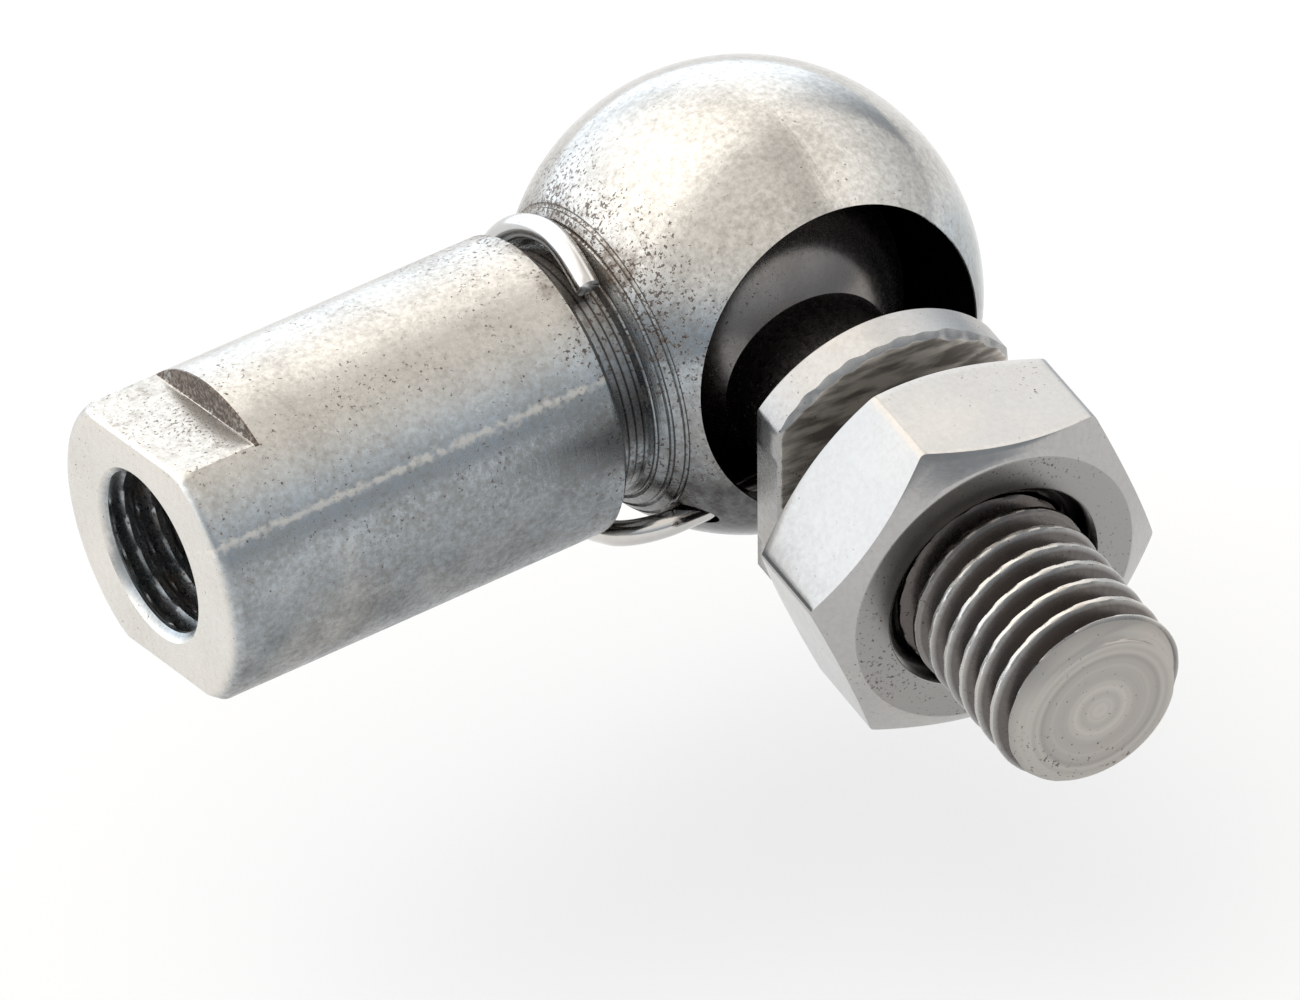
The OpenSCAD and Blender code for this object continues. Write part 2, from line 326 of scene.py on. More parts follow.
@dataclass(frozen=True)
class Steel:
    """Stainless steel as it leaves the machine: mottled satin metal with tool lines, dark pits and brown dirt.

    To the eye this gives a soft, slightly uneven sheen that is warm where it faces the light and cool elsewhere, with
    bluish patches of painted room reflection.

    Attributes:
        name: Name of the material.
        light: Colour of clean metal.
        cool: Colour of the bluish patches of painted room reflection on satin metal.
        dull: Colour of the duller mottling.
        stain: Colour of dirt left in corners.
        pit: Colour of the small dark pits.
        fresh: Colour of newly cut metal, also laid on as painted highlights.
        oily: Colour of dark painted shade.
        smooth: Roughness of clean metal.
        rough: Roughness of dull mottling and pits.
        polish: Share of the roughness that is left where the metal is polished.
        dirty_metal: Share of metal that shows through full dirt.
        mottle: Strength of the mottling, up to 1.
        mottle_span: Noise levels between which the mottling sets in.
        grain_share: Share of fine grain in the mottling, against broad patches.
        grain_mm: Size of the mottling's grains.
        patch_mm: Size of the mottling's patches.
        room_mm: Size of the cool patches.
        room_span: Ramp from noise to cool patches.
        line_mm: Spacing of the tool lines along and out from the turning axis.
        line_round: Change of the lines for each millimetre across the axis.
        relief_mm: Depth of the tool lines, the grain and the pits.
        relief_share: Strength of that relief.
        pit_mm: Size of a pit, drawn coarser than a real one so that it shows.
        pit_level: Noise level above which there is a pit; higher means fewer.
        pit_swing: Change of that level to both sides where pits gather and where they are rare.
        pit_gain: Fall of that level in full dirt.
        pit_edge: Ramp from the noise above that level to a pit.
        gather_mm: Size of the patches that pits gather in.
        gather_span: Noise levels between which pits go from rare to gathered.
        stain_mm: Size of a stain.
        stain_level: Noise level above which dirt shows where no zone asks for it.
        stain_gain: Rise of the noise in full dirt.
        stain_edge: Ramp from the noise above that level to a stain.
        turn: Turn of the pattern that brings the tool lines' axis to X, in radians.
        middle_mm: Place that the pattern is centred on.
    """

    name: str
    light: str = "#cccac6"
    cool: str = "#b8c0c6"
    dull: str = "#8e8b86"
    stain: str = "#57432f"
    pit: str = "#43332a"
    fresh: str = "#efe9e0"
    oily: str = "#1b1713"
    smooth: float = 0.22
    rough: float = 0.46
    polish: float = 0.5
    dirty_metal: float = 0.4
    mottle: float = 0.8
    mottle_span: tuple[float, float] = (0.4, 0.66)
    grain_share: float = 0.62
    grain_mm: float = 0.2
    patch_mm: float = 2.4
    room_mm: float = 5.0
    room_span: Ramp = (0.3, 0.5, 0.0, 1.0)
    line_mm: float = 0.22
    line_round: float = 0.15
    relief_mm: float = 0.012
    relief_share: float = 0.5
    pit_mm: float = 0.13
    pit_level: float = 0.66
    pit_swing: float = 0.05
    pit_gain: float = 0.22
    pit_edge: Ramp = (0.0, 0.05, 0.0, 0.85)
    gather_mm: float = 3.5294
    gather_span: tuple[float, float] = (0.35, 0.7)
    stain_mm: float = 0.85714
    stain_level: float = 0.76
    stain_gain: float = 0.4
    stain_edge: Ramp = (-0.06, 0.1, 0.0, 0.75)
    turn: tuple[float, float, float] = (0.0, 0.0, 0.0)
    middle_mm: tuple[float, float, float] = (0.0, 0.0, 0.0)

    def zones(self, tree: Tree, place: Socket) -> dict[Zone, Socket]:
        """Gives masks for the places that have a look of their own.

        Args:
            tree: The material's nodes.
            place: Place on the piece in millimetres, along the turning axis and across it.

        Returns:
            Zone to a socket from 0 to 1. Plain steel has none.
        """
        return {}

    def material(self) -> bpy.types.Material:
        """Builds the material's nodes: tints laid over clean metal one by one, then metal, roughness and relief.

        Returns:
            The new material.
        """
        material = bpy.data.materials.new(self.name)
        material.use_nodes = True
        tree = material.node_tree
        tree.nodes.clear()
        place = self._place(tree)
        zones = self.zones(tree, place)
        fine = {"Vector": place, "Scale": NOISE_UNIT / self.grain_mm, "Detail": 4.0, "Roughness": 0.7}
        grain = add(tree, Kind.NOISE, fine)
        dullness = self._dullness(tree, place, grain, zones.get(Zone.DULL))
        pits = self._pits(tree, place, zones.get(Zone.DIRT))
        stains = self._stains(tree, place, zones.get(Zone.DIRT))
        room = add(tree, Kind.NOISE, {"Vector": place, "Scale": NOISE_UNIT / self.room_mm, "Detail": 3.0})
        cool = add(tree, Kind.RANGE, (room, *self.room_span))
        if Zone.COOL in zones:
            cool = add(tree, Kind.MATH, (zones[Zone.COOL], cool), operation="MULTIPLY")

        colour = linear(self.light)
        # Tints in order: the cool tint is painted room reflection, the bright tint is fresh metal and painted
        # highlights, and the dark tint is painted shade; stains and pits are the metal's own.
        layers = (
            (cool, self.cool),
            (dullness, self.dull),
            (zones.get(Zone.FRESH_AND_HIGHLIGHT), self.fresh),
            (zones.get(Zone.PAINTED_SHADE), self.oily),
            (stains, self.stain),
            (pits, self.pit),
        )
        for mask, tint in layers:
            if mask is not None:
                colour = add(tree, Kind.MIX, {0: mask, 6: colour, 7: linear(tint)}, 2, data_type="RGBA")

        dirt = add(tree, Kind.MATH, (pits, stains), operation="MAXIMUM", use_clamp=True)
        metal = add(tree, Kind.RANGE, (dirt, 0.0, 1.0, 1.0, self.dirty_metal))
        worn = add(tree, Kind.MATH, (dullness, dirt), operation="MAXIMUM")
        roughness = add(tree, Kind.RANGE, (worn, 0.0, 1.0, self.smooth, self.rough))
        if Zone.POLISHED in zones:
            shine = add(tree, Kind.RANGE, (zones[Zone.POLISHED], 0.0, 1.0, 1.0, self.polish))
            roughness = add(tree, Kind.MATH, (roughness, shine), operation="MULTIPLY")
        raised = add(tree, Kind.MATH, (self._lines(tree, place), grain), operation="ADD")
        relief = add(tree, Kind.MATH, (raised, pits), operation="SUBTRACT")
        bump = {"Strength": self.relief_share, "Distance": self.relief_mm * MM, "Height": relief}
        normal = add(tree, Kind.BUMP, bump)
        look = {"Base Color": colour, "Metallic": metal, "Roughness": roughness, "Normal": normal}
        add(tree, Kind.MATERIAL, {"Surface": add(tree, Kind.SURFACE, look)})
        return material

    def _place(self, tree: Tree) -> Socket:
        """Gives the place on the piece in millimetres from the pattern's middle, turned to the tool lines' axis."""
        middle = tuple(-value for value in self.middle_mm)
        spot = add(tree, Kind.PLACE, out="Object")
        scaled = add(tree, Kind.MAPPING, {"Vector": spot, "Scale": (PER_MM,) * 3, "Location": middle})
        return add(tree, Kind.MAPPING, {"Vector": scaled, "Rotation": self.turn})

    def _radius(self, tree: Tree, place: Socket) -> Socket:
        """Gives the distance from the turning axis."""
        across = add(tree, Kind.VECTOR, (place, ACROSS), operation="MULTIPLY")
        return add(tree, Kind.VECTOR, (across,), "Value", operation="LENGTH")

    def _lines(self, tree: Tree, place: Socket) -> Socket:
        """Gives the tool lines' height: noise drawn out round the turning axis, along it and out from it."""
        out = add(tree, Kind.MATH, (self._radius(tree, place), self.line_mm), operation="DIVIDE")
        out = add(tree, Kind.JOIN, (out,))
        spread = (1.0 / self.line_mm, self.line_round, self.line_round)
        along = add(tree, Kind.VECTOR, (place, spread, out), operation="MULTIPLY_ADD")
        return add(tree, Kind.NOISE, {"Vector": along, "Scale": 1.0, "Detail": 3.0, "Roughness": 0.7})

    def _dullness(self, tree: Tree, place: Socket, grain: Socket, zone: Socket | None) -> Socket:
        """Gives the mottling: broad patches broken up by grain, and at least as much as a dull zone asks for."""
        broad = {"Vector": place, "Scale": NOISE_UNIT / self.patch_mm, "Detail": 5.0, "Roughness": 0.6}
        patches = add(tree, Kind.NOISE, broad)
        blend = add(tree, Kind.MIX, {0: self.grain_share, 2: patches, 3: grain}, data_type="FLOAT")
        mottle = add(tree, Kind.RANGE, (blend, *self.mottle_span, 0.0, self.mottle))
        return mottle if zone is None else add(tree, Kind.MATH, (zone, mottle), operation="MAXIMUM")

    def _pits(self, tree: Tree, place: Socket, zone: Socket | None) -> Socket:
        """Gives a mask of small pits that gather in patches and in dirt: fine noise above a level that varies."""
        small = {"Vector": place, "Scale": NOISE_UNIT / self.pit_mm, "Detail": 3.0, "Roughness": 0.65}
        fine = add(tree, Kind.NOISE, small)
        patch = add(tree, Kind.NOISE, {"Vector": place, "Scale": NOISE_UNIT / self.gather_mm, "Detail": 2.0})
        rare, gathered = self.pit_level + self.pit_swing, self.pit_level - self.pit_swing
        level = add(tree, Kind.RANGE, (patch, *self.gather_span, rare, gathered))
        if zone is not None:
            level = add(tree, Kind.MATH, (zone, -self.pit_gain, level), operation="MULTIPLY_ADD")
        above = add(tree, Kind.MATH, (fine, level), operation="SUBTRACT")
        return add(tree, Kind.RANGE, (above, *self.pit_edge))

    def _stains(self, tree: Tree, place: Socket, zone: Socket | None) -> Socket:
        """Gives a mask of ragged brown stains, which come at a lower noise level inside the dirt zone."""
        ragged = {"Vector": place, "Scale": NOISE_UNIT / self.stain_mm, "Detail": 8.0, "Roughness": 0.75}
        value = add(tree, Kind.NOISE, ragged)
        if zone is not None:
            value = add(tree, Kind.MATH, (zone, self.stain_gain, value), operation="MULTIPLY_ADD")
        return add(tree, Kind.RANGE, (value, *shifted(self.stain_edge, self.stain_level)))


@dataclass(frozen=True)
class SocketSteel(Steel):
    """Turned bar stock with a polished head, warm above and cool below, where the cool tint is painted room reflection.

    Dirt lies round the neck, in the seat, on the flats and in the hole. Painted shade darkens the seat, the hole, the
    neck and the underside. The end face is bright, the shank's top has a faint painted highlight, and a dotted line of
    painted highlight runs along the shank.

    Attributes:
        neck_mm: Place of the neck's middle along the shank.
        neck_half: Half the length of the neck.
        ball_mm: Place of the ball's centre along the shank.
        head_mm: Radius of the head.
        skin_mm: Depth below the head's round at which the seat's wall begins.
        hole_mm: Largest radius of the tapped hole.
        hole_end_mm: Depth of the tapped hole.
        hole_dirt: Share of dirt in the tapped hole.
        hole_shade: Share of painted shade in the tapped hole.
        hole_mouth: Ramp from the hole's mouth inwards.
        flat_mm: Height of the spanner flats.
        flat_end_mm: Length of the spanner flats.
        flat_near: Distances from the flat, from its step, and below the flat that still count as the place.
        flat_dirt: Share of dirt on the flats.
        cool_side: Ramp of the painted cool reflection over the height.
        polished: Ramp of the polish from the neck's middle to the head.
        neck_dirt: Ramp of the dirt from the neck's middle to both sides.
        upper_dirt: Ramp of the same dirt over the height.
        seat_dirt: Ramp of the dirt in the seat along the shank, from the ball's centre.
        top_dirt: Ramp of the specks on the shank's top, from the flats' height.
        seat_shade: Ramp of the painted shade in the seat, from the head's round.
        low_shade: Ramp of painted shade over the height, darker towards the bottom.
        low_shade_start: Ramp of that shade from the end face.
        low_shade_step: Ramp of a step of darker painted shade below the painted highlight line, from its height.
        low_shade_uneven: Ramp from noise to that shade's strength.
        low_shade_head: Ramp of that shade's strength from the shank to the head, from the neck's middle.
        shade_patch_mm: Size of that shade's uneven patches.
        score_back: Distance of the dark turned lines' middle before the neck's.
        score_mm: Half the spacing of these lines.
        score_half: Half the width of the stretch that has them.
        score_band: Ramp of the band of painted shade that they lie in.
        score_line: Ramp from the middle of a line to its side.
        upper_highlight: Ramp of the painted highlight over the height of the shank.
        face_fresh: Ramp of bright metal from the end face.
        highlight_deg: Place of the dotted painted highlight line round the shank, from +Y towards +Z.
        highlight_mm: Half the width of that line.
        highlight_lift: Rise of the noise in the middle of the line and at its side.
        highlight_edge: Ramp from that noise to the painted highlight.
        dot_mm: Size of the line's dots.
    """

    neck_mm: float = 24.6
    neck_half: float = 1.6
    ball_mm: float = 35.0
    head_mm: float = 12.0
    skin_mm: float = 0.3
    hole_mm: float = 5.1
    hole_end_mm: float = 20.6
    hole_dirt: float = 0.56
    hole_shade: float = 0.08
    hole_mouth: Ramp = (0.5, 2.5, 0.0, 1.0)
    flat_mm: float = 6.5
    flat_end_mm: float = 4.5
    flat_near: tuple[float, float, float] = (0.06, 0.12, 0.1)
    flat_dirt: float = 0.36
    cool_side: Ramp = (4.4, 6.4, 1.0, 0.0)
    polished: Ramp = (0.0, 4.0, 0.0, 1.0)
    neck_dirt: Ramp = (1.6, 5.0, 0.6, 0.0)
    upper_dirt: Ramp = (0.0, 6.0, 0.4, 1.0)
    seat_dirt: Ramp = (-8.0, -2.0, 0.82, 0.0)
    top_dirt: Ramp = (-1.3, 0.0, 0.0, 0.24)
    seat_shade: Ramp = (-0.4, -0.06, 0.5, 0.0)
    low_shade: Ramp = (-8.5, 4.6, 0.8, 0.0)
    low_shade_start: Ramp = (0.1, 0.7, 0.0, 1.0)
    low_shade_step: Ramp = (-0.2, 0.7, 0.06, 0.0)
    low_shade_uneven: Ramp = (0.35, 0.65, 0.7, 1.15)
    low_shade_head: Ramp = (-1.6, 1.6, 0.85, 1.35)
    shade_patch_mm: float = 1.3333
    score_back: float = 0.3
    score_mm: float = 0.225
    score_half: float = 0.85
    score_band: Ramp = (0.8, 2.6, 0.42, 0.0)
    score_line: Ramp = (0.02, 0.09, 0.5, 0.0)
    upper_highlight: Ramp = (0.0, 4.0, 0.0, 0.06)
    face_fresh: Ramp = (0.02, 0.3, 0.68, 0.0)
    highlight_deg: float = 154.9
    highlight_mm: float = 0.52
    highlight_lift: tuple[float, float] = (0.34, -0.1)
    highlight_edge: Ramp = (0.58, 0.84, 0.0, 0.8)
    dot_mm: float = 0.27273

    def zones(self, tree: Tree, place: Socket) -> dict[Zone, Socket]:
        """Gives the painted cool reflection, the dirt, the painted shade, the bright metal and painted highlights, and
        the polished head.
        """
        axes = add(tree, Kind.AXES, (place,)).node.outputs
        along, height = axes["X"], axes["Z"]
        return {
            # Cool tint below the top: painted room reflection. Dark zone: painted shade. Bright zone: faced metal and
            # painted highlights.
            Zone.COOL: add(tree, Kind.RANGE, (height, *self.cool_side)),
            Zone.DIRT: self._dirt(tree, place, along, height),
            Zone.PAINTED_SHADE: self._shade(tree, place, along, height),
            Zone.FRESH_AND_HIGHLIGHT: self._bright(tree, place, along, height),
            Zone.POLISHED: add(tree, Kind.RANGE, (along, *shifted(self.polished, self.neck_mm))),
        }

    def _shank(self, tree: Tree, along: Socket) -> Socket:
        """All that lies before the neck."""
        return add(tree, Kind.MATH, (along, self.neck_mm - self.neck_half), operation="LESS_THAN")

    def _hole(self, tree: Tree, place: Socket, along: Socket) -> Socket:
        """The tapped hole's wall and point, behind its mouth."""
        wall = add(tree, Kind.MATH, (self._radius(tree, place), self.hole_mm), operation="LESS_THAN")
        inside = add(tree, Kind.MATH, (along, self.hole_end_mm), operation="LESS_THAN")
        hole = add(tree, Kind.MATH, (wall, inside), operation="MULTIPLY")
        return add(
            tree, Kind.MATH, (hole, add(tree, Kind.RANGE, (along, *self.hole_mouth))), operation="MULTIPLY"
        )

    def _from(self, tree: Tree, along: Socket, middle: float) -> Socket:
        """Distance along the shank to either side of a place."""
        offset = add(tree, Kind.MATH, (along, middle), operation="SUBTRACT")
        return add(tree, Kind.MATH, (offset,), operation="ABSOLUTE")

    def _out(self, tree: Tree, place: Socket) -> Socket:
        """Distance from the ball's centre."""
        return add(tree, Kind.VECTOR, (place, (self.ball_mm, 0.0, 0.0)), "Value", operation="DISTANCE")

    def _dirt(self, tree: Tree, place: Socket, along: Socket, height: Socket) -> Socket:
        """Most of the dirt at a place: by the neck, in the seat and the hole, on the top, the flats and their step."""
        neck = add(tree, Kind.RANGE, (self._from(tree, along, self.neck_mm), *self.neck_dirt))
        upper = add(tree, Kind.RANGE, (height, *self.upper_dirt))
        inside = add(tree, Kind.MATH, (self._out(tree, place), self.head_mm - self.skin_mm), operation="LESS_THAN")
        wall = add(tree, Kind.RANGE, (along, *shifted(self.seat_dirt, self.ball_mm)))
        top = add(tree, Kind.RANGE, (height, *shifted(self.top_dirt, self.flat_mm)))
        near, beside, below = self.flat_near
        level = add(tree, Kind.MATH, (height, self.flat_mm, near), operation="COMPARE")
        short = add(tree, Kind.MATH, (along, self.flat_end_mm), operation="LESS_THAN")
        flat = add(tree, Kind.MATH, (level, short), operation="MULTIPLY")
        step = add(tree, Kind.MATH, (along, self.flat_end_mm, beside), operation="COMPARE")
        high = add(tree, Kind.MATH, (height, self.flat_mm - below), operation="GREATER_THAN")
        pairs = (
            (neck, upper),
            (wall, inside),
            (top, self._shank(tree, along)),
            (flat, self.flat_dirt),
            (step, high),
            (self._hole(tree, place, along), self.hole_dirt),
        )
        dirt = 0.0
        for mask, share in pairs:
            shared = add(tree, Kind.MATH, (mask, share), operation="MULTIPLY")
            dirt = add(tree, Kind.MATH, (dirt, shared), operation="MAXIMUM")
        return dirt

    def _shade(self, tree: Tree, place: Socket, along: Socket, height: Socket) -> Socket:
        """Most of the painted shade at a place: inside the head, in the hole, in the neck's dark turned lines, and low
        down.
        """
        # Painted shade inside the seat, in the hole, and in a band with dark turned lines round the neck.
        seat = add(tree, Kind.RANGE, (self._out(tree, place), *shifted(self.seat_shade, self.head_mm)))
        hole = add(tree, Kind.MATH, (self._hole(tree, place, along), self.hole_shade), operation="MULTIPLY")
        away = self._from(tree, along, self.neck_mm - self.score_back)
        band = add(tree, Kind.RANGE, (away, *self.score_band))
        turned = add(tree, Kind.MATH, (along, self.score_mm), operation="PINGPONG")
        score = add(tree, Kind.RANGE, (turned, *self.score_line))
        near = add(tree, Kind.MATH, (away, self.score_half), operation="LESS_THAN")
        neck = add(tree, Kind.MATH, (score, near, band), operation="MULTIPLY_ADD")
        shade = self._low_shade(tree, place, along, height)
        for mask in (seat, hole, neck):
            shade = add(tree, Kind.MATH, (shade, mask), operation="MAXIMUM")
        return shade

    def _low_shade(self, tree: Tree, place: Socket, along: Socket, height: Socket) -> Socket:
        """Painted shade that grows downwards, in uneven patches, a step darker below the painted highlight line and
        stronger on the head.
        """
        # Painted shade, darker towards the bottom and on the head.
        low_shade = add(tree, Kind.RANGE, (height, *self.low_shade))
        edge = self.flat_mm * math.sin(math.radians(self.highlight_deg))
        step = add(tree, Kind.RANGE, (height, *shifted(self.low_shade_step, edge)))
        low_shade = add(tree, Kind.MATH, (step, self._shank(tree, along), low_shade), operation="MULTIPLY_ADD")
        ragged = {"Vector": place, "Scale": NOISE_UNIT / self.shade_patch_mm, "Detail": 6.0, "Roughness": 0.7}
        shares = (
            (along, self.low_shade_start),
            (add(tree, Kind.NOISE, ragged), self.low_shade_uneven),
            (along, shifted(self.low_shade_head, self.neck_mm)),
        )
        for value, ramp in shares:
            share = add(tree, Kind.RANGE, (value, *ramp))
            low_shade = add(tree, Kind.MATH, (low_shade, share), operation="MULTIPLY")
        return low_shade

    def _bright(self, tree: Tree, place: Socket, along: Socket, height: Socket) -> Socket:
        """Bright faced end, a faint painted highlight on the shank's top, and a dotted painted highlight line on the
        shank.
        """
        shank = self._shank(tree, along)
        # Painted highlight on the shank's upper side.
        upper = add(tree, Kind.RANGE, (height, *self.upper_highlight))
        upper = add(tree, Kind.MATH, (upper, shank), operation="MULTIPLY")
        face = add(tree, Kind.RANGE, (along, *self.face_fresh))
        # Dotted line of painted highlight along the shank.
        turn = math.radians(self.highlight_deg)
        across, facing = (0.0, -math.sin(turn), math.cos(turn)), (0.0, math.cos(turn), math.sin(turn))
        side = add(tree, Kind.VECTOR, (place, across), "Value", operation="DOT_PRODUCT")
        front = add(tree, Kind.VECTOR, (place, facing), "Value", operation="DOT_PRODUCT")
        away = add(tree, Kind.MATH, (side,), operation="ABSOLUTE")
        lift = add(tree, Kind.RANGE, (away, 0.0, self.highlight_mm, *self.highlight_lift))
        dots = add(tree, Kind.NOISE, {"Vector": place, "Scale": NOISE_UNIT / self.dot_mm, "Detail": 2.0})
        above = add(tree, Kind.MATH, (dots, lift), operation="ADD")
        line = add(tree, Kind.RANGE, (above, *self.highlight_edge))
        for mask in (add(tree, Kind.MATH, (front, 0.0), operation="GREATER_THAN"), shank):
            line = add(tree, Kind.MATH, (line, mask), operation="MULTIPLY")
        for mask in (upper, face):
            line = add(tree, Kind.MATH, (line, mask), operation="MAXIMUM")
        return line


@dataclass(frozen=True)
class StudSteel(Steel):
    """Turned and rolled bar stock.

    The collar's rim is bright, the thread's crests carry a painted highlight, the end face has rings from the
    facing tool, the collar's front face carries streaks of painted light, and the ball, the neck, the gap before the
    nut and the thread's grooves carry painted shade.

    Attributes:
        reach_mm: Distance from the ball's centre that the shares of painted shade are placed over.
        seat_mm: Distance from the ball's centre to the collar's front face.
        face_mm: Distance from that face that still counts as the face.
        tip_mm: Distance from the ball's centre to the tip.
        end_mm: Length of the tip that is left bare.
        crest_mm: Radius of the thread's crests.
        crest_edge: Depth below the crests that is still bright.
        crest_highlight: Share of painted highlight on the crests.
        groove_shade: Ramp of the oil in the thread's grooves, from the crests' radius.
        highlight_mm: Size of the streaks of painted light on the collar's face.
        highlight_stretch: Stretch of those streaks along the axis and across it.
        highlight_edge: Ramp from noise to a streak of painted light.
        ring_mm: Width of the rings on the end face.
        ring_edge: Ramp from noise to a bright ring.
        end_dull: Share of dull metal on the end face.
        shade: Share of painted shade at places along the stud, from the ball's centre: on the ball, the neck, the
            collar's rim, the gap before the nut, and the free thread's crests.
    """

    reach_mm: float = 40.0
    seat_mm: float = 15.3
    face_mm: float = 0.05
    tip_mm: float = 35.4
    end_mm: float = 0.75
    crest_mm: float = 5.0
    crest_edge: float = 0.03
    crest_highlight: float = 0.3
    groove_shade: Ramp = (-0.26, -0.03, 0.72, 0.0)
    highlight_mm: float = 0.54545
    highlight_stretch: tuple[float, float, float] = (1.0, 0.35, 1.6)
    highlight_edge: Ramp = (0.4, 0.6, 0.0, 0.8)
    ring_mm: float = 0.54545
    ring_edge: Ramp = (0.3, 0.7, 0.0, 0.35)
    end_dull: float = 0.6
    shade: tuple[tuple[float, float], ...] = (
        (0.0, 0.5),
        (7.0, 0.55),
        (8.2, 0.66),
        (12.8, 0.5),
        (13.0, 0.0),
        (15.4, 0.0),
        (15.6, 0.6),
        (25.2, 0.8),
        (27.6, 0.0),
    )

    def zones(self, tree: Tree, place: Socket) -> dict[Zone, Socket]:
        """Gives the painted shade along the stud and in the thread's grooves, the bright metal and painted light, and
        the dull faces.
        """
        axial = add(tree, Kind.AXES, (place,), "X")
        radius = self._radius(tree, place)
        threaded = add(tree, Kind.MATH, (axial, self.shade[-2][0]), operation="GREATER_THAN")
        end = add(tree, Kind.MATH, (axial, self.tip_mm - self.end_mm), operation="GREATER_THAN")
        blunt = add(tree, Kind.MATH, (axial, self.tip_mm - self.end_mm), operation="LESS_THAN")
        seat = add(tree, Kind.MATH, (axial, self.seat_mm, self.face_mm), operation="COMPARE")

        # Painted shade in the thread's grooves and at places along the stud.
        groove = add(tree, Kind.RANGE, (radius, *shifted(self.groove_shade, self.crest_mm)))
        for mask in (threaded, blunt):
            groove = add(tree, Kind.MATH, (groove, mask), operation="MULTIPLY")
        oily = add(tree, Kind.MATH, (groove, self._shade_along(tree, axial)), operation="MAXIMUM")

        # Painted highlight on the thread's crests; the end face's rings are from the facing tool.
        crest = add(tree, Kind.MATH, (radius, self.crest_mm - self.crest_edge), operation="GREATER_THAN")
        crest = add(tree, Kind.MATH, (crest, threaded), operation="MULTIPLY")
        turned = {"W": radius, "Scale": NOISE_UNIT / self.ring_mm, "Detail": 2.0}
        rings = add(tree, Kind.NOISE, turned, noise_dimensions="1D")
        rings = add(tree, Kind.RANGE, (rings, *self.ring_edge))
        faced = add(tree, Kind.MATH, (end, rings), operation="MULTIPLY")
        fresh = add(tree, Kind.MATH, (crest, self.crest_highlight, faced), operation="MULTIPLY_ADD")

        # Streaks of painted light on the collar's front face, which lies in shade.
        drawn = add(tree, Kind.VECTOR, (place, self.highlight_stretch), operation="MULTIPLY")
        streaks = add(tree, Kind.NOISE, {"Vector": drawn, "Scale": NOISE_UNIT / self.highlight_mm, "Detail": 4.0})
        streaks = add(tree, Kind.RANGE, (streaks, *self.highlight_edge))
        lit_streaks = add(tree, Kind.MATH, (streaks, seat), operation="MULTIPLY")
        return {
            Zone.PAINTED_SHADE: oily,
            Zone.FRESH_AND_HIGHLIGHT: add(tree, Kind.MATH, (fresh, lit_streaks), operation="MAXIMUM"),
            Zone.DULL: add(tree, Kind.MATH, (end, self.end_dull, seat), operation="MULTIPLY_ADD"),
        }

    def _shade_along(self, tree: Tree, axial: Socket) -> Socket:
        """Share of painted shade by the place along the stud, straight between the places given."""
        share = add(tree, Kind.MATH, (axial, self.reach_mm), operation="DIVIDE", use_clamp=True)
        shade = add(tree, Kind.STOPS, (share,))
        stops = shade.node.color_ramp.elements
        for place_mm, _ in self.shade[2:]:
            stops.new(place_mm / self.reach_mm)
        for stop, (place_mm, level) in zip(stops, self.shade):
            stop.position = place_mm / self.reach_mm
            stop.color = (level, level, level, 1.0)
        return shade


@dataclass(frozen=True)
class NutSteel(Steel):
    """Cold-formed bar: polished on the flats and the chamfer, pitted and dull on the two end faces, painted shade in
    the bore.

    Attributes:
        back_mm: Distance from the ball's centre to the nut's back face.
        front_mm: Distance from the ball's centre to its front face.
        face_mm: Depth below a face that still counts as the face.
        face_dull: Share of dull metal on the end faces.
        face_dirt: Share of dirt on the end faces.
        mouth_mm: Radius of the bore's mouth.
        bore_shade: Ramp of the painted shade in the bore, from the mouth's radius.
    """

    back_mm: float = 17.95
    front_mm: float = 25.15
    face_mm: float = 0.02
    face_dull: float = 0.75
    face_dirt: float = 0.4
    mouth_mm: float = 5.9
    bore_shade: Ramp = (-0.25, 0.0, 0.9, 0.0)

    def zones(self, tree: Tree, place: Socket) -> dict[Zone, Socket]:
        """Gives the dull, pitted end faces and the painted shade in the bore."""
        axial = add(tree, Kind.AXES, (place,), "X")
        front = add(tree, Kind.MATH, (axial, self.front_mm - self.face_mm), operation="GREATER_THAN")
        back = add(tree, Kind.MATH, (axial, self.back_mm + self.face_mm), operation="LESS_THAN")
        ends = add(tree, Kind.MATH, (front, back), operation="ADD")
        bore = shifted(self.bore_shade, self.mouth_mm)
        return {
            Zone.DULL: add(tree, Kind.MATH, (ends, self.face_dull), operation="MULTIPLY"),
            Zone.DIRT: add(tree, Kind.MATH, (ends, self.face_dirt), operation="MULTIPLY"),
            # Painted shade in the bore.
            Zone.PAINTED_SHADE: add(tree, Kind.RANGE, (self._radius(tree, place), *bore)),
        }


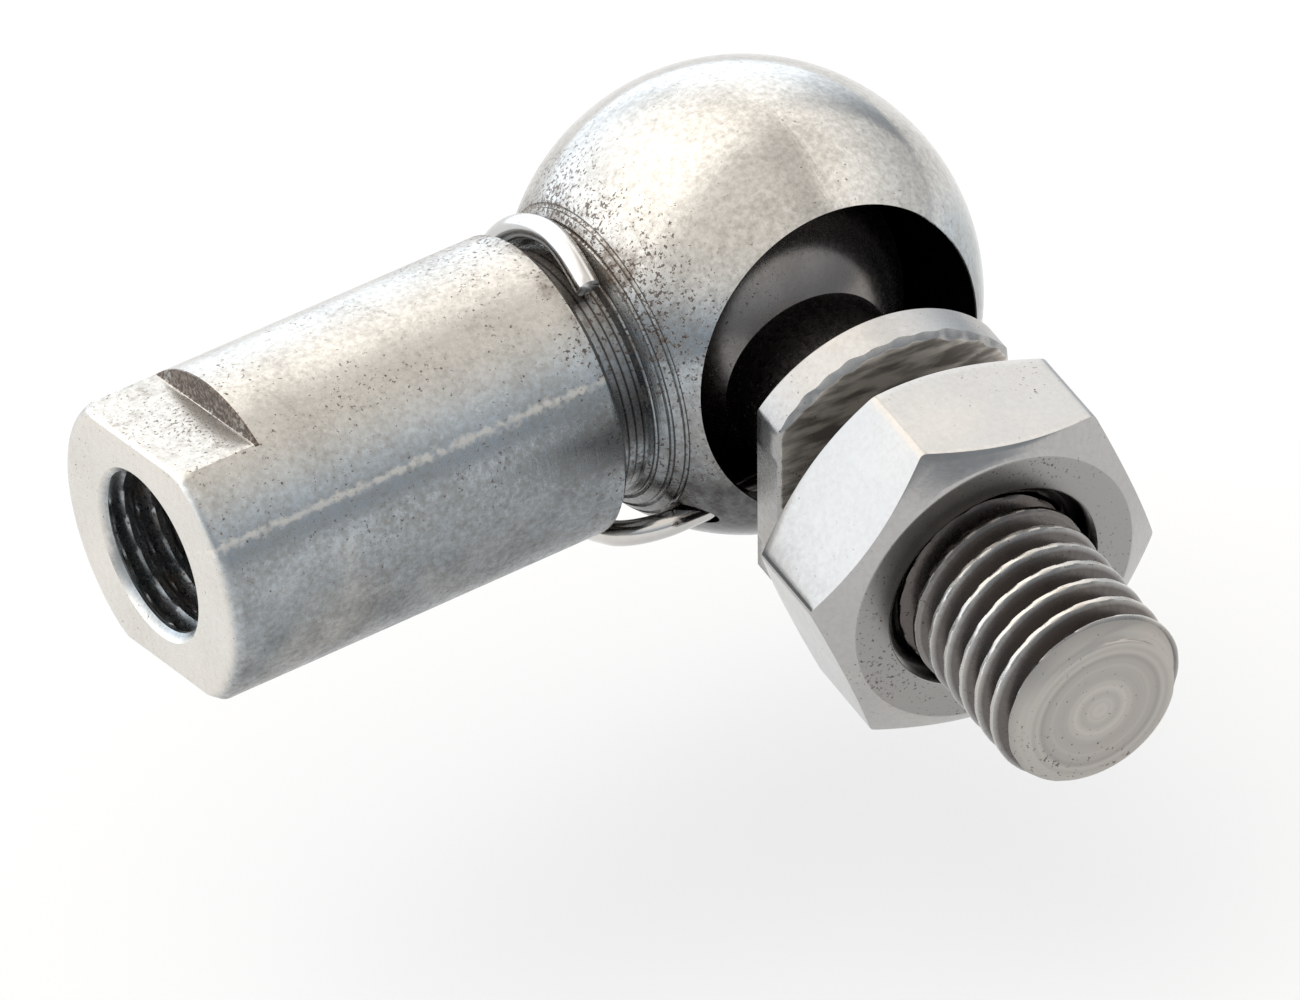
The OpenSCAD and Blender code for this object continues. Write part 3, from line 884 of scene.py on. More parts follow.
@dataclass
class BallSocket:
    """Turned socket: tapped shank with two spanner flats, neck, and round head with the ball's seat.

    Attributes:
        ball_x: Place of the ball's centre along the shank.
        wire_y: Place of the clip's leg along Y.
        wire_z: Place of the clip's leg along Z.
        head_r: Radius of the head.
        seat_r: Radius of the ball's seat.
        seat_chamfer: Chamfer at the seat's mouth.
        shank_r: Radius of the shank.
        end_round: Rounding of the shank's end.
        flat_round: Rounding of that end beside the flats.
        flat_half: Distance of a flat from the axis.
        flat_l: Length of the flats.
        tap_r: Radius of the tapping drill.
        tap_depth: Depth of the tapped hole without the drill's point.
        tap_sink: Width of the countersink at its mouth.
        tap_fine: Depth down to which the hole can be seen into.
        thread_in: Depths between which the thread sets in.
        thread_out: Depths between which the thread runs out.
        drill_tip: Height of the drill's point.
        pitch: Pitch of the thread.
        thread: Depth of the thread.
        thread_root: Width of the thread's level bottom.
        neck_r: Radius of the neck.
        neck_w: Length of the neck.
        shoulder_chamfer: Chamfer of the shank's shoulder.
        groove_count: Number of fine grooves at the start of the head.
        groove_pitch: Spacing of these grooves along the shank.
        groove_r: Radius of a groove's round.
        hole_r: Radius of the clip's hole.
        columns: Number of columns round the axis.
    """

    ball_x: float
    wire_y: float
    wire_z: float
    head_r: float = 12.0
    seat_r: float = 8.1
    seat_chamfer: float = 0.1
    shank_r: float = 8.0
    end_round: float = 0.8
    flat_round: float = 0.35
    flat_half: float = 6.5
    flat_l: float = 4.5
    tap_r: float = 4.25
    tap_depth: float = 18.0
    tap_sink: float = 0.4
    tap_fine: float = 9.0
    thread_in: tuple[float, float] = (0.25, 1.0)
    thread_out: tuple[float, float] = (15.0, 17.5)
    drill_tip: float = 2.554
    pitch: float = 1.5
    thread: float = 0.81
    thread_root: float = 0.19
    neck_r: float = 6.6
    neck_w: float = 2.0
    shoulder_chamfer: float = 0.3
    groove_count: int = 3
    groove_pitch: float = 0.5
    groove_r: float = 0.15
    hole_r: float = 0.9
    columns: int = 200

    def build(self) -> Piece:
        """Turns the outside and the tapped hole as one grid, and cuts the ball's seat and the clip's hole.

        The grid runs from the drill's point out of the hole, over the end face, along the shank and the neck, and
        round the head to its far side.

        Returns:
            The socket.
        """
        outline = np.concatenate([self._hole(), self._shank(), self._neck(), self._head()])
        turn = around(self.columns)
        axial, radial = outline[..., 0], outline[..., 1]
        points = np.stack([axial, radial * np.cos(turn), radial * np.sin(turn)], axis=-1)
        piece = skin("socket_body", points)
        cut(piece, [self._seat(), self._wire_hole()], crisp=28.0)
        return piece

    def _hole(self) -> Array:
        """Drill point, then the wall: its radius grows by the thread's depth and opens in a countersink at the mouth.

        Rows are dense up to the depth that can be seen into.
        """
        share = np.linspace(0.01, 1.0, 6)
        point = stretch(self.tap_depth + self.drill_tip * (1.0 - share), self.tap_r * share, self.columns)
        deep = np.linspace(self.tap_depth - 0.1, self.tap_fine + 0.2, 34)
        depth = np.concatenate([deep, np.linspace(self.tap_fine, 0.0, 91)])[:, None]
        turns = depth / self.pitch + around(self.columns) / (2.0 * np.pi)
        fade = smooth_step(*self.thread_in, depth) * (1.0 - smooth_step(*self.thread_out, depth))
        wall = self.tap_r + fade * thread_depth(turns, self.pitch, self.thread, self.thread_root)
        sink = self.tap_r + self.tap_sink - depth
        return np.concatenate([point, stretch(depth, np.maximum(wall, sink), self.columns)])

    def _shank(self) -> Array:
        """End face, its rounded edge, the flats up to their step, and the round shank to its shoulder."""
        flat = self.flat_half / np.maximum(np.abs(np.sin(around(self.columns))), TINY)
        rim = np.minimum(self.shank_r, flat)
        edge = self.end_round + (self.flat_round - self.end_round) * smooth_step(0.0, 0.5, self.shank_r - flat)
        mouth = self.tap_r + self.tap_sink
        share = np.array([0.3, 0.65, 1.0])[:, None]
        face = stretch(np.zeros(3), mouth + share * (rim - edge - mouth), self.columns)
        bend = np.radians(np.linspace(9.0, 90.0, 10))[:, None]
        corner = stretch(edge * (1.0 - np.cos(bend)), rim - edge * (1.0 - np.sin(bend)), self.columns)
        flats = stretch(edge + share * (self.flat_l - 0.3 - edge), rim, self.columns)
        rise = np.array([[-0.15, 0.0], [-0.06, 0.05], [-0.01, 0.2], [0.01, 9.0]])
        step = stretch(self.flat_l + rise[:, 0], np.minimum(self.shank_r, rim + rise[:, 1:]), self.columns)
        lip = stretch([self.flat_l + 0.06], self.shank_r, self.columns)
        run = stretch(np.linspace(self.flat_l + 0.3, self._shoulder() - 0.5, 14), self.shank_r, self.columns)
        return np.concatenate([face, corner, flats, step, lip, run])

    def _shoulder(self) -> float:
        """Place of the shank's shoulder: the neck's width before the head's round meets the neck."""
        return self.ball_x - math.sqrt(self.head_r**2 - self.neck_r**2) - self.neck_w

    def _neck(self) -> Array:
        """Chamfered shoulder, its face, a small fillet, and the neck."""
        c = self.shoulder_chamfer
        fall = self.shank_r - self.neck_r
        steps = np.array(
            [
                [-c - 0.06, 0.0],
                [-c, 0.01],
                [-0.04, c - 0.04],
                [0.0, c + 0.04],
                [0.002, fall - 0.5],
                [0.004, fall - 0.2],
                [0.06, fall - 0.06],
                [0.2, fall],
                [1.0, fall],
                [self.neck_w - 0.05, fall],
            ]
        )
        return stretch(self._shoulder() + steps[:, 0], self.shank_r - steps[:, 1], self.columns)

    def _head(self) -> Array:
        """Round of the head, less a row of round grooves where the neck runs into it."""
        start = math.asin(self.neck_r / self.head_r)
        dense = start + math.radians(12.0)
        polar = np.concatenate([np.arange(start, dense, 0.0026), np.linspace(dense, np.pi - 0.004, 100)])
        middles = self._shoulder() + self.neck_w + (np.arange(self.groove_count) + 0.5) * self.groove_pitch
        middles = np.arccos((self.ball_x - middles) / self.head_r)
        along = (polar[:, None] - middles[None, :]) * self.head_r
        grooves = np.sqrt(np.maximum(self.groove_r**2 - along**2, 0.0)).sum(1)
        reach = self.head_r - grooves
        return stretch(self.ball_x - reach * np.cos(polar), reach * np.sin(polar), self.columns)

    def _seat(self) -> Piece:
        """Cutter for the seat: half a ball, a round bore to the head's mouth, and a small chamfer there."""
        polar = np.linspace(0.01, np.pi / 2.0, 60)
        mouth = math.sqrt(self.head_r**2 - self.seat_r**2) - self.seat_chamfer
        ball = stretch(-self.seat_r * np.cos(polar), self.seat_r * np.sin(polar), self.columns)
        bore = stretch(np.linspace(mouth / 8.0, mouth, 8), self.seat_r, self.columns)
        flare = stretch([mouth + 0.5, self.head_r + 1.0], self.seat_r + 0.5, self.columns)
        outline = np.concatenate([ball, bore, flare])
        turn = around(self.columns)
        out, radial = outline[..., 0], outline[..., 1]
        points = np.stack([self.ball_x + radial * np.cos(turn), -out, radial * np.sin(turn)], axis=-1)
        return skin("seat_cutter", points)

    def _wire_hole(self) -> Piece:
        """Cutter for the clip's hole: a straight rod across the head below the stud's neck."""
        turn = around(48)
        axial = np.linspace(-self.head_r, self.head_r, 5)[:, None] * np.ones_like(turn)
        ring = np.ones_like(axial)
        points = np.stack(
            [
                self.ball_x + axial,
                self.wire_y + ring * self.hole_r * np.cos(turn),
                self.wire_z + ring * self.hole_r * np.sin(turn),
            ],
            axis=-1,
        )
        return skin("wire_hole_cutter", points)

    def dress(self, piece: Piece) -> None:
        """Gives the socket its turned steel."""
        finish = SocketSteel(
            "turned_stainless_socket",
            ball_mm=self.ball_x,
            head_mm=self.head_r,
            flat_mm=self.flat_half,
            flat_end_mm=self.flat_l,
        )
        piece.data.materials.clear()
        piece.data.materials.append(finish.material())


@dataclass
class StudPose:
    """Place and axes of the stud at rest: z runs from the ball's centre to the tip, and x lies along the shank.

    Attributes:
        ball: Place of the ball's centre.
        axis: Direction from the ball to the tip, of length 1.
    """

    ball: Array
    axis: Array

    def matrix(self) -> Array:
        """Gives the local axes as the columns of a matrix."""
        droop = math.atan2(-self.axis[2], -self.axis[1])
        up = np.array([0.0, -math.sin(droop), math.cos(droop)])
        return np.stack([np.cross(up, self.axis), up, self.axis], axis=-1)

    def place(self, points: Array) -> Array:
        """Carries points from the stud's local axes to the part's frame."""
        return self.ball + points @ self.matrix().T

    def turned(self, outline: Array) -> Array:
        """Turns an outline of axial place and radius about the stud's axis."""
        turn = around(outline.shape[1])
        axial, radial = outline[..., 0], outline[..., 1]
        return self.place(np.stack([radial * np.cos(turn), radial * np.sin(turn), axial], axis=-1))

    def pattern_turn(self) -> tuple[float, float, float]:
        """Gives the turn, as angles about X, Y and Z, that brings the stud's axis to X in a material."""
        local = self.matrix()
        to_x = np.stack([local[:, 2], local[:, 0], local[:, 1]])
        return tuple(Matrix(to_x.tolist()).to_euler("XYZ"))

    def pattern_middle(self) -> tuple[float, float, float]:
        """Gives the ball's centre in millimetres."""
        return tuple(self.ball.tolist())


@dataclass
class BallStud:
    """Turned stud: ball, neck, collar with two spanner flats, and rolled thread.

    Attributes:
        pose: Place and axes of the stud. Lengths along it are from the ball's centre.
        nut_front: Place of the nut's front face.
        nut_mouth_r: Radius of the mouth of the nut's bore.
        ball_r: Radius of the ball.
        neck_r: Radius of the neck.
        fillet: Radius of the fillet between neck and collar.
        collar_r: Radius of the collar.
        collar_back: Place of the collar's back face.
        seat: Place of the collar's front face.
        collar_chamfer: Chamfer of the collar's edges.
        wear: Most that is worn off the front edge.
        flat_half: Distance of a flat from the axis.
        crest_r: Radius of the thread's crests.
        pitch: Pitch of the thread.
        thread: Depth of the thread.
        thread_root: Width of the thread's level bottom.
        near_deg: Angle at which a crest meets the tip's chamfer.
        nut_wall_r: Radius of the plain wall inside the nut.
        tip: Place of the end face.
        tip_chamfer: Chamfer of the tip.
        tip_round: Rounding of the end face's edge.
        row_step: Distance of the thread's rows.
        columns: Number of columns round the axis.
    """

    pose: StudPose
    nut_front: float
    nut_mouth_r: float
    ball_r: float = 8.0
    neck_r: float = 4.6
    fillet: float = 1.2
    collar_r: float = 8.2
    collar_back: float = 12.9
    seat: float = 15.3
    collar_chamfer: float = 0.2
    wear: float = 0.3
    flat_half: float = 6.5
    crest_r: float = 5.0
    pitch: float = 1.5
    thread: float = 0.92
    thread_root: float = 0.19
    near_deg: float = 60.0
    nut_wall_r: float = 4.488
    tip: float = 35.4
    tip_chamfer: float = 0.9
    tip_round: float = 0.12
    row_step: float = 0.068
    columns: int = 240

    def build(self) -> Piece:
        """Turns the whole stud as one grid from the ball's far side to the tip.

        Returns:
            The stud.
        """
        outline = np.concatenate([self._ball(), self._neck(), self._collar(), self._thread(), self._tip()])
        return skin("stud_body", self.pose.turned(outline), crisp=40.0)

    def _ball(self) -> Array:
        """Ball, from its far side to where the neck leaves it."""
        polar = np.linspace(0.01, np.pi - math.asin(self.neck_r / self.ball_r), 64)
        return stretch(-self.ball_r * np.cos(polar), self.ball_r * np.sin(polar), self.columns)

    def _neck(self) -> Array:
        """Straight neck and the quarter-round fillet up to the collar."""
        start = math.sqrt(self.ball_r**2 - self.neck_r**2)
        end = self.collar_back - self.fillet
        run = stretch(np.linspace(start + 0.1, end, 8), self.neck_r, self.columns)
        bend = np.radians(np.linspace(9.0, 88.0, 10))
        flare = stretch(
            end + self.fillet * np.sin(bend), self.neck_r + self.fillet * (1.0 - np.cos(bend)), self.columns
        )
        return np.concatenate([run, flare])

    def _collar(self) -> Array:
        """Collar: a disc limited by two flats across local x, with both edges broken, and the front one worn on top."""
        limit = np.minimum(self.collar_r, self.flat_half / np.maximum(np.abs(np.cos(around(self.columns))), TINY))
        c = self.collar_chamfer
        lost_edge = c + self.wear * self._worn()
        ends = np.array(
            [
                [self.collar_back, -0.5],
                [self.collar_back + 0.002, -c - 0.04],
                [self.collar_back + c * 0.2, -c * 0.75],
                [self.collar_back + c, 0.0],
                [self.seat - c - 0.9, 0.0],
            ]
        )
        disc = stretch(ends[:, 0], limit + ends[:, 1:], self.columns)
        share = np.array([1.0, 0.2, 0.02])[:, None]
        lost = np.array([0.0, 0.75, 1.1])[:, None]
        front = stretch(self.seat - share * lost_edge, limit - lost * lost_edge, self.columns)
        face = stretch([self.seat], limit - 1.2, self.columns)
        root = stretch([self.seat + 0.01], self.nut_wall_r + 0.05, self.columns)
        return np.concatenate([disc, front, face, root])

    def _worn(self) -> Array:
        """Wear of the collar's front edge, from 0 to 1: a sum of waves round the axis, kept to the upper side."""
        turn = around(self.columns)
        waves = np.full_like(turn, 0.5)
        for height, count, start in ((0.14, 7.0, 0.0), (0.14, 17.0, 1.0), (0.2, 37.0, 2.0)):
            waves += height * np.sin(count * turn + start)
        upper = smooth_step(0.2, 0.8, turn) * (1.0 - smooth_step(2.2, 2.7, turn))
        return np.clip(waves, 0.0, 1.0) * upper

    def _thread(self) -> Array:
        """Plain wall up to the nut's mouth, then the rolled thread: crest radius less the groove, inside the mouth."""
        plain = stretch(np.arange(self.seat + 0.08, self.nut_front - 1.5, 0.3), self.nut_wall_r, self.columns)
        axial = np.arange(self.nut_front - 1.4, self.tip - self.tip_chamfer, self.row_step)[:, None]
        groove = thread_depth(self._turns(axial), self.pitch, self.thread, self.thread_root)
        inside = self.nut_front - axial
        room = np.where(inside > 0.0, np.maximum(self.nut_wall_r, self.nut_mouth_r - 0.12 - inside), np.inf)
        return np.concatenate([plain, stretch(axial, np.minimum(self.crest_r - groove, room), self.columns)])

    def _turns(self, axial: Array) -> Array:
        """Place on the right-hand helix in pitches, with a crest at the start of the tip's chamfer on the near side."""
        near = around(self.columns) / (2.0 * np.pi) - self.near_deg / 360.0
        return (axial - self.tip + self.tip_chamfer) / self.pitch - near

    def _tip(self) -> Array:
        """Chamfered end of the thread, with a rounded edge, and the end face."""
        start = self.tip - self.tip_chamfer
        rows = np.arange(start, self.tip - self.tip_round, self.row_step)
        axial = np.append(rows, self.tip - np.array([0.1, 0.04, 0.01]))[:, None]
        chamfer = self.crest_r - (axial - start)
        round_off = smooth_step(self.tip - 0.2, self.tip, axial) * self.tip_round
        thread = self.crest_r - thread_depth(self._turns(axial), self.pitch, self.thread, self.thread_root)
        edge = stretch(axial, np.minimum(thread, chamfer - round_off), self.columns)
        share = np.array([0.94, 0.7, 0.35, 0.05])[:, None]
        face = stretch(np.full(4, self.tip), share * edge[-1:, :, 1], self.columns)
        return np.concatenate([edge, face])

    def dress(self, piece: Piece) -> None:
        """Gives the stud its turned and rolled steel."""
        finish = StudSteel(
            "rolled_stainless_stud",
            light="#b0aba5",
            cool="#a8a8a8",
            dull="#918b85",
            # Colour of the painted shade.
            oily="#3a2e28",
            rough=0.6,
            mottle=0.35,
            turn=self.pose.pattern_turn(),
            middle_mm=self.pose.pattern_middle(),
            seat_mm=self.seat,
            crest_mm=self.crest_r,
            tip_mm=self.tip,
        )
        piece.data.materials.append(finish.material())


@dataclass
class HexNut:
    """Hexagon nut with chamfered corners and a countersunk bore.

    Attributes:
        pose: Place and axes of the stud.
        back: Place of the back face along the stud.
        height: Height of the nut.
        flats: Width across flats.
        face_r: Radius of the face inside the chamfer.
        chamfer_deg: Slope of the chamfer.
        mouth_r: Radius of the countersink at the bore's mouth.
        wall_r: Radius of the bore.
        turn_deg: Turn of the hexagon about the stud.
        sharpness: Power of the mean that softens the hexagon's corners; higher is sharper.
        columns: Number of columns round the axis.
    """

    pose: StudPose
    back: float = 17.95
    height: float = 7.2
    flats: float = 17.0
    face_r: float = 7.75
    chamfer_deg: float = 30.0
    mouth_r: float = 5.9
    wall_r: float = 4.538
    turn_deg: float = -9.5
    sharpness: float = 110.0
    columns: int = 360

    def build(self) -> Piece:
        """Carries one section round the axis: bore, countersink, face ring, cone, flat, and back the same way.

        The flat's distance is a hexagon with softened corners: a high power mean of its six flats. The cone ends
        where it meets the flat, so that its curved edge runs along a row of the grid.

        Returns:
            The nut.
        """
        turn = around(self.columns)
        normals = np.radians(self.turn_deg + 30.0 + 60.0 * np.arange(6))[:, None]
        share = np.maximum(np.cos(turn - normals), 0.0) / (self.flats / 2.0)
        side = (share**self.sharpness).sum(0, keepdims=True) ** (-1.0 / self.sharpness)
        half = np.concatenate([self._bore(), self._end(side)])
        other = half[::-1].copy()
        other[..., 0] = self.height - other[..., 0]
        section = np.concatenate([half, other])
        section[..., 0] += self.back
        return skin("nut_body", self.pose.turned(section), closed=True, crisp=40.0)

    def _bore(self) -> Array:
        """Plain wall and 45 degree countersink of one end."""
        sink = self.mouth_r - self.wall_r
        radial = np.array([0.0, 0.0, 0.05, 0.5, 0.95, 1.0]) * sink + self.wall_r
        axial = np.array([sink + 1.0, sink + 0.1, sink * 0.95, sink * 0.5, 0.05, 0.012])
        return stretch(axial, radial, self.columns)

    def _end(self, side: Array) -> Array:
        """Face ring, cone to the hexagon's side, and the start of the flat, with edges broken by a few rows."""
        slope = math.tan(math.radians(self.chamfer_deg))
        ring = stretch([0.0, 0.0, 0.0], [self.mouth_r + 0.05, 6.8, self.face_r - 0.08], self.columns)
        lip = stretch([0.012], [self.face_r + 0.01], self.columns)
        share = np.array([0.12, 0.4, 0.7, 0.93])[:, None]
        radial = self.face_r + share * (side - self.face_r)
        cone = stretch((radial - self.face_r) * slope, radial, self.columns)
        drop = (side - self.face_r) * slope
        edge = stretch(drop + 0.004, side - 0.006, self.columns)
        flat = stretch(drop + np.array([[0.05], [0.5], [1.4]]), side, self.columns)
        return np.concatenate([ring, lip, cone, edge, flat])

    def dress(self, piece: Piece) -> None:
        """Gives the nut its bright cold-formed steel."""
        finish = NutSteel(
            "cold_formed_stainless_nut",
            light="#b9b5b0",
            cool="#b1b0af",
            dull="#949290",
            mottle=0.3,
            smooth=0.12,
            rough=0.4,
            line_mm=0.6,
            relief_mm=0.005,
            pit_level=0.69,
            stain_level=0.86,
            back_mm=self.back,
            front_mm=self.back + self.height,
            mouth_mm=self.mouth_r,
            turn=self.pose.pattern_turn(),
            middle_mm=self.pose.pattern_middle(),
        )
        piece.data.materials.append(finish.material())


@dataclass
class SafetyClip:
    """Bent spring wire: straight leg through the head, round corner, short run, and the loop that grips the neck.

    Attributes:
        ball: Place of the ball's centre. Places along the shank are from there.
        wire_y: Place of the leg along Y.
        wire_z: Place of the leg along Z.
        wire_r: Radius of the wire.
        leg_end: Place of the leg's end along the shank.
        low_r: Distance of the run below the shank's axis.
        loop_r: Radius of the loop.
        loop_x: Place of the loop's bottom along the shank.
        loop_top_x: Place of the loop's top along the shank.
        corner_share: Radius of the corner as a share of the leg's distance from the axis.
        wrap_deg: Angle that the loop goes round.
        push_from_deg: Angle on the loop at which it starts to be pushed out.
        push_to_deg: Angle at which it is pushed out most.
        push_out: Most that it is pushed away from the neck.
        push_along: Most that it is pushed towards the head.
        end_round: Rounding of the wire's ends.
        columns: Number of columns round the wire.
    """

    ball: Array
    wire_y: float
    wire_z: float
    wire_r: float = 0.65
    leg_end: float = 7.137
    low_r: float = 8.2
    loop_r: float = 7.785
    loop_x: float = -11.252
    loop_top_x: float = -10.575
    corner_share: float = 0.7
    wrap_deg: float = 226.0
    push_from_deg: float = 115.0
    push_to_deg: float = 192.0
    push_out: float = 0.3
    push_along: float = 0.45
    end_round: float = 0.3
    columns: int = 28

    def build(self) -> Piece:
        """Carries a circle along the wire's route, rounding off both ends.

        Each ring stands square to the route. A slanted guide direction, which the route never follows, gives the
        ring's two axes by cross products.

        Returns:
            The clip.
        """
        route = self._route()
        heading = np.gradient(route, axis=0)
        heading /= np.linalg.norm(heading, axis=1, keepdims=True)
        guide = np.array([0.58, 0.55, 0.6])
        side = np.cross(heading, guide)
        side /= np.linalg.norm(side, axis=1, keepdims=True)
        other = np.cross(heading, side)
        walked = np.append(0.0, np.cumsum(np.linalg.norm(np.diff(route, axis=0), axis=1)))
        to_end = np.minimum(walked, walked[-1] - walked)
        bite = 1.0 - np.clip(to_end / self.end_round, 0.0, 1.0)
        thick = self.wire_r * np.sqrt(np.maximum(1.0 - bite**2, 0.0004))[:, None]
        turn = around(self.columns)
        ring = (thick * np.cos(turn))[..., None] * side[:, None] + (thick * np.sin(turn))[..., None] * other[:, None]
        return skin("clip_wire", route[:, None] + ring, crisp=60.0)

    def _route(self) -> Array:
        """Middle line of the wire from its end in the head to the loop's end, in the part's frame."""
        reach = math.hypot(self.wire_y, self.wire_z)
        width = math.sqrt(reach**2 - self.low_r**2)
        corner = self.corner_share * width
        start = self.loop_x + corner
        leg = np.linspace(self.leg_end, start, 70)[:-1]
        bend = np.radians(np.linspace(270.0, 180.0, 24))
        run = np.linspace(corner - width, 0.0, 8)[1:-1]
        flat = np.concatenate(
            [
                np.stack([leg, np.full_like(leg, -width)], axis=-1),
                np.stack([start + corner * np.cos(bend), corner - width + corner * np.sin(bend)], axis=-1),
                np.stack([np.full_like(run, self.loop_x), run], axis=-1),
            ]
        )
        below = np.concatenate([flat, np.full((len(flat), 1), -self.low_r)], axis=1)
        end = math.atan2(self.wire_z, self.wire_y) - math.atan2(-self.low_r, -width)
        turn = np.array(Matrix.Rotation(end, 3, "X"))
        return self.ball + np.concatenate([below, self._loop()]) @ turn.T

    def lowest(self) -> float:
        """Gives a height that the loop's swing stays above: the hinge, less the loop's farthest reach from it."""
        return self.wire_z - math.hypot(self.wire_y, self.wire_z) - self.low_r - self.wire_r

    def _loop(self) -> Array:
        """Loop round the back of the neck and over it: a circle that leans to the head, pushed out over the top."""
        wrap = np.radians(np.linspace(0.0, self.wrap_deg, 150))
        away = np.stack([np.zeros_like(wrap), np.sin(wrap), -np.cos(wrap)], axis=-1)
        ring = self.loop_r * (away + np.array([0.0, 0.0, 1.0]))
        lean = math.asin((self.loop_top_x - self.loop_x) / (2.0 * self.loop_r))
        tipped = ring @ np.array(Matrix.Rotation(lean, 3, "Y")).T
        rise, fall = self.push_from_deg, self.push_to_deg
        turn = np.degrees(wrap)
        push = smooth_step(rise, fall, turn) * (1.0 - smooth_step(fall, self.wrap_deg + 4.0, turn))
        pushed = push[:, None] * (away * self.push_out + np.array([self.push_along, 0.0, 0.0]))
        return tipped + pushed + np.array([self.loop_x, 0.0, -self.low_r])

    def dress(self, piece: Piece) -> None:
        """Gives the clip its bright drawn wire."""
        finish = Steel(
            "drawn_spring_wire",
            light="#d5d0ca",
            cool="#c9c9c9",
            dull="#b0aaa2",
            mottle=0.2,
            smooth=0.14,
            rough=0.3,
            relief_mm=0.004,
            pit_level=0.72,
            stain_level=0.82,
        )
        piece.data.materials.append(finish.material())


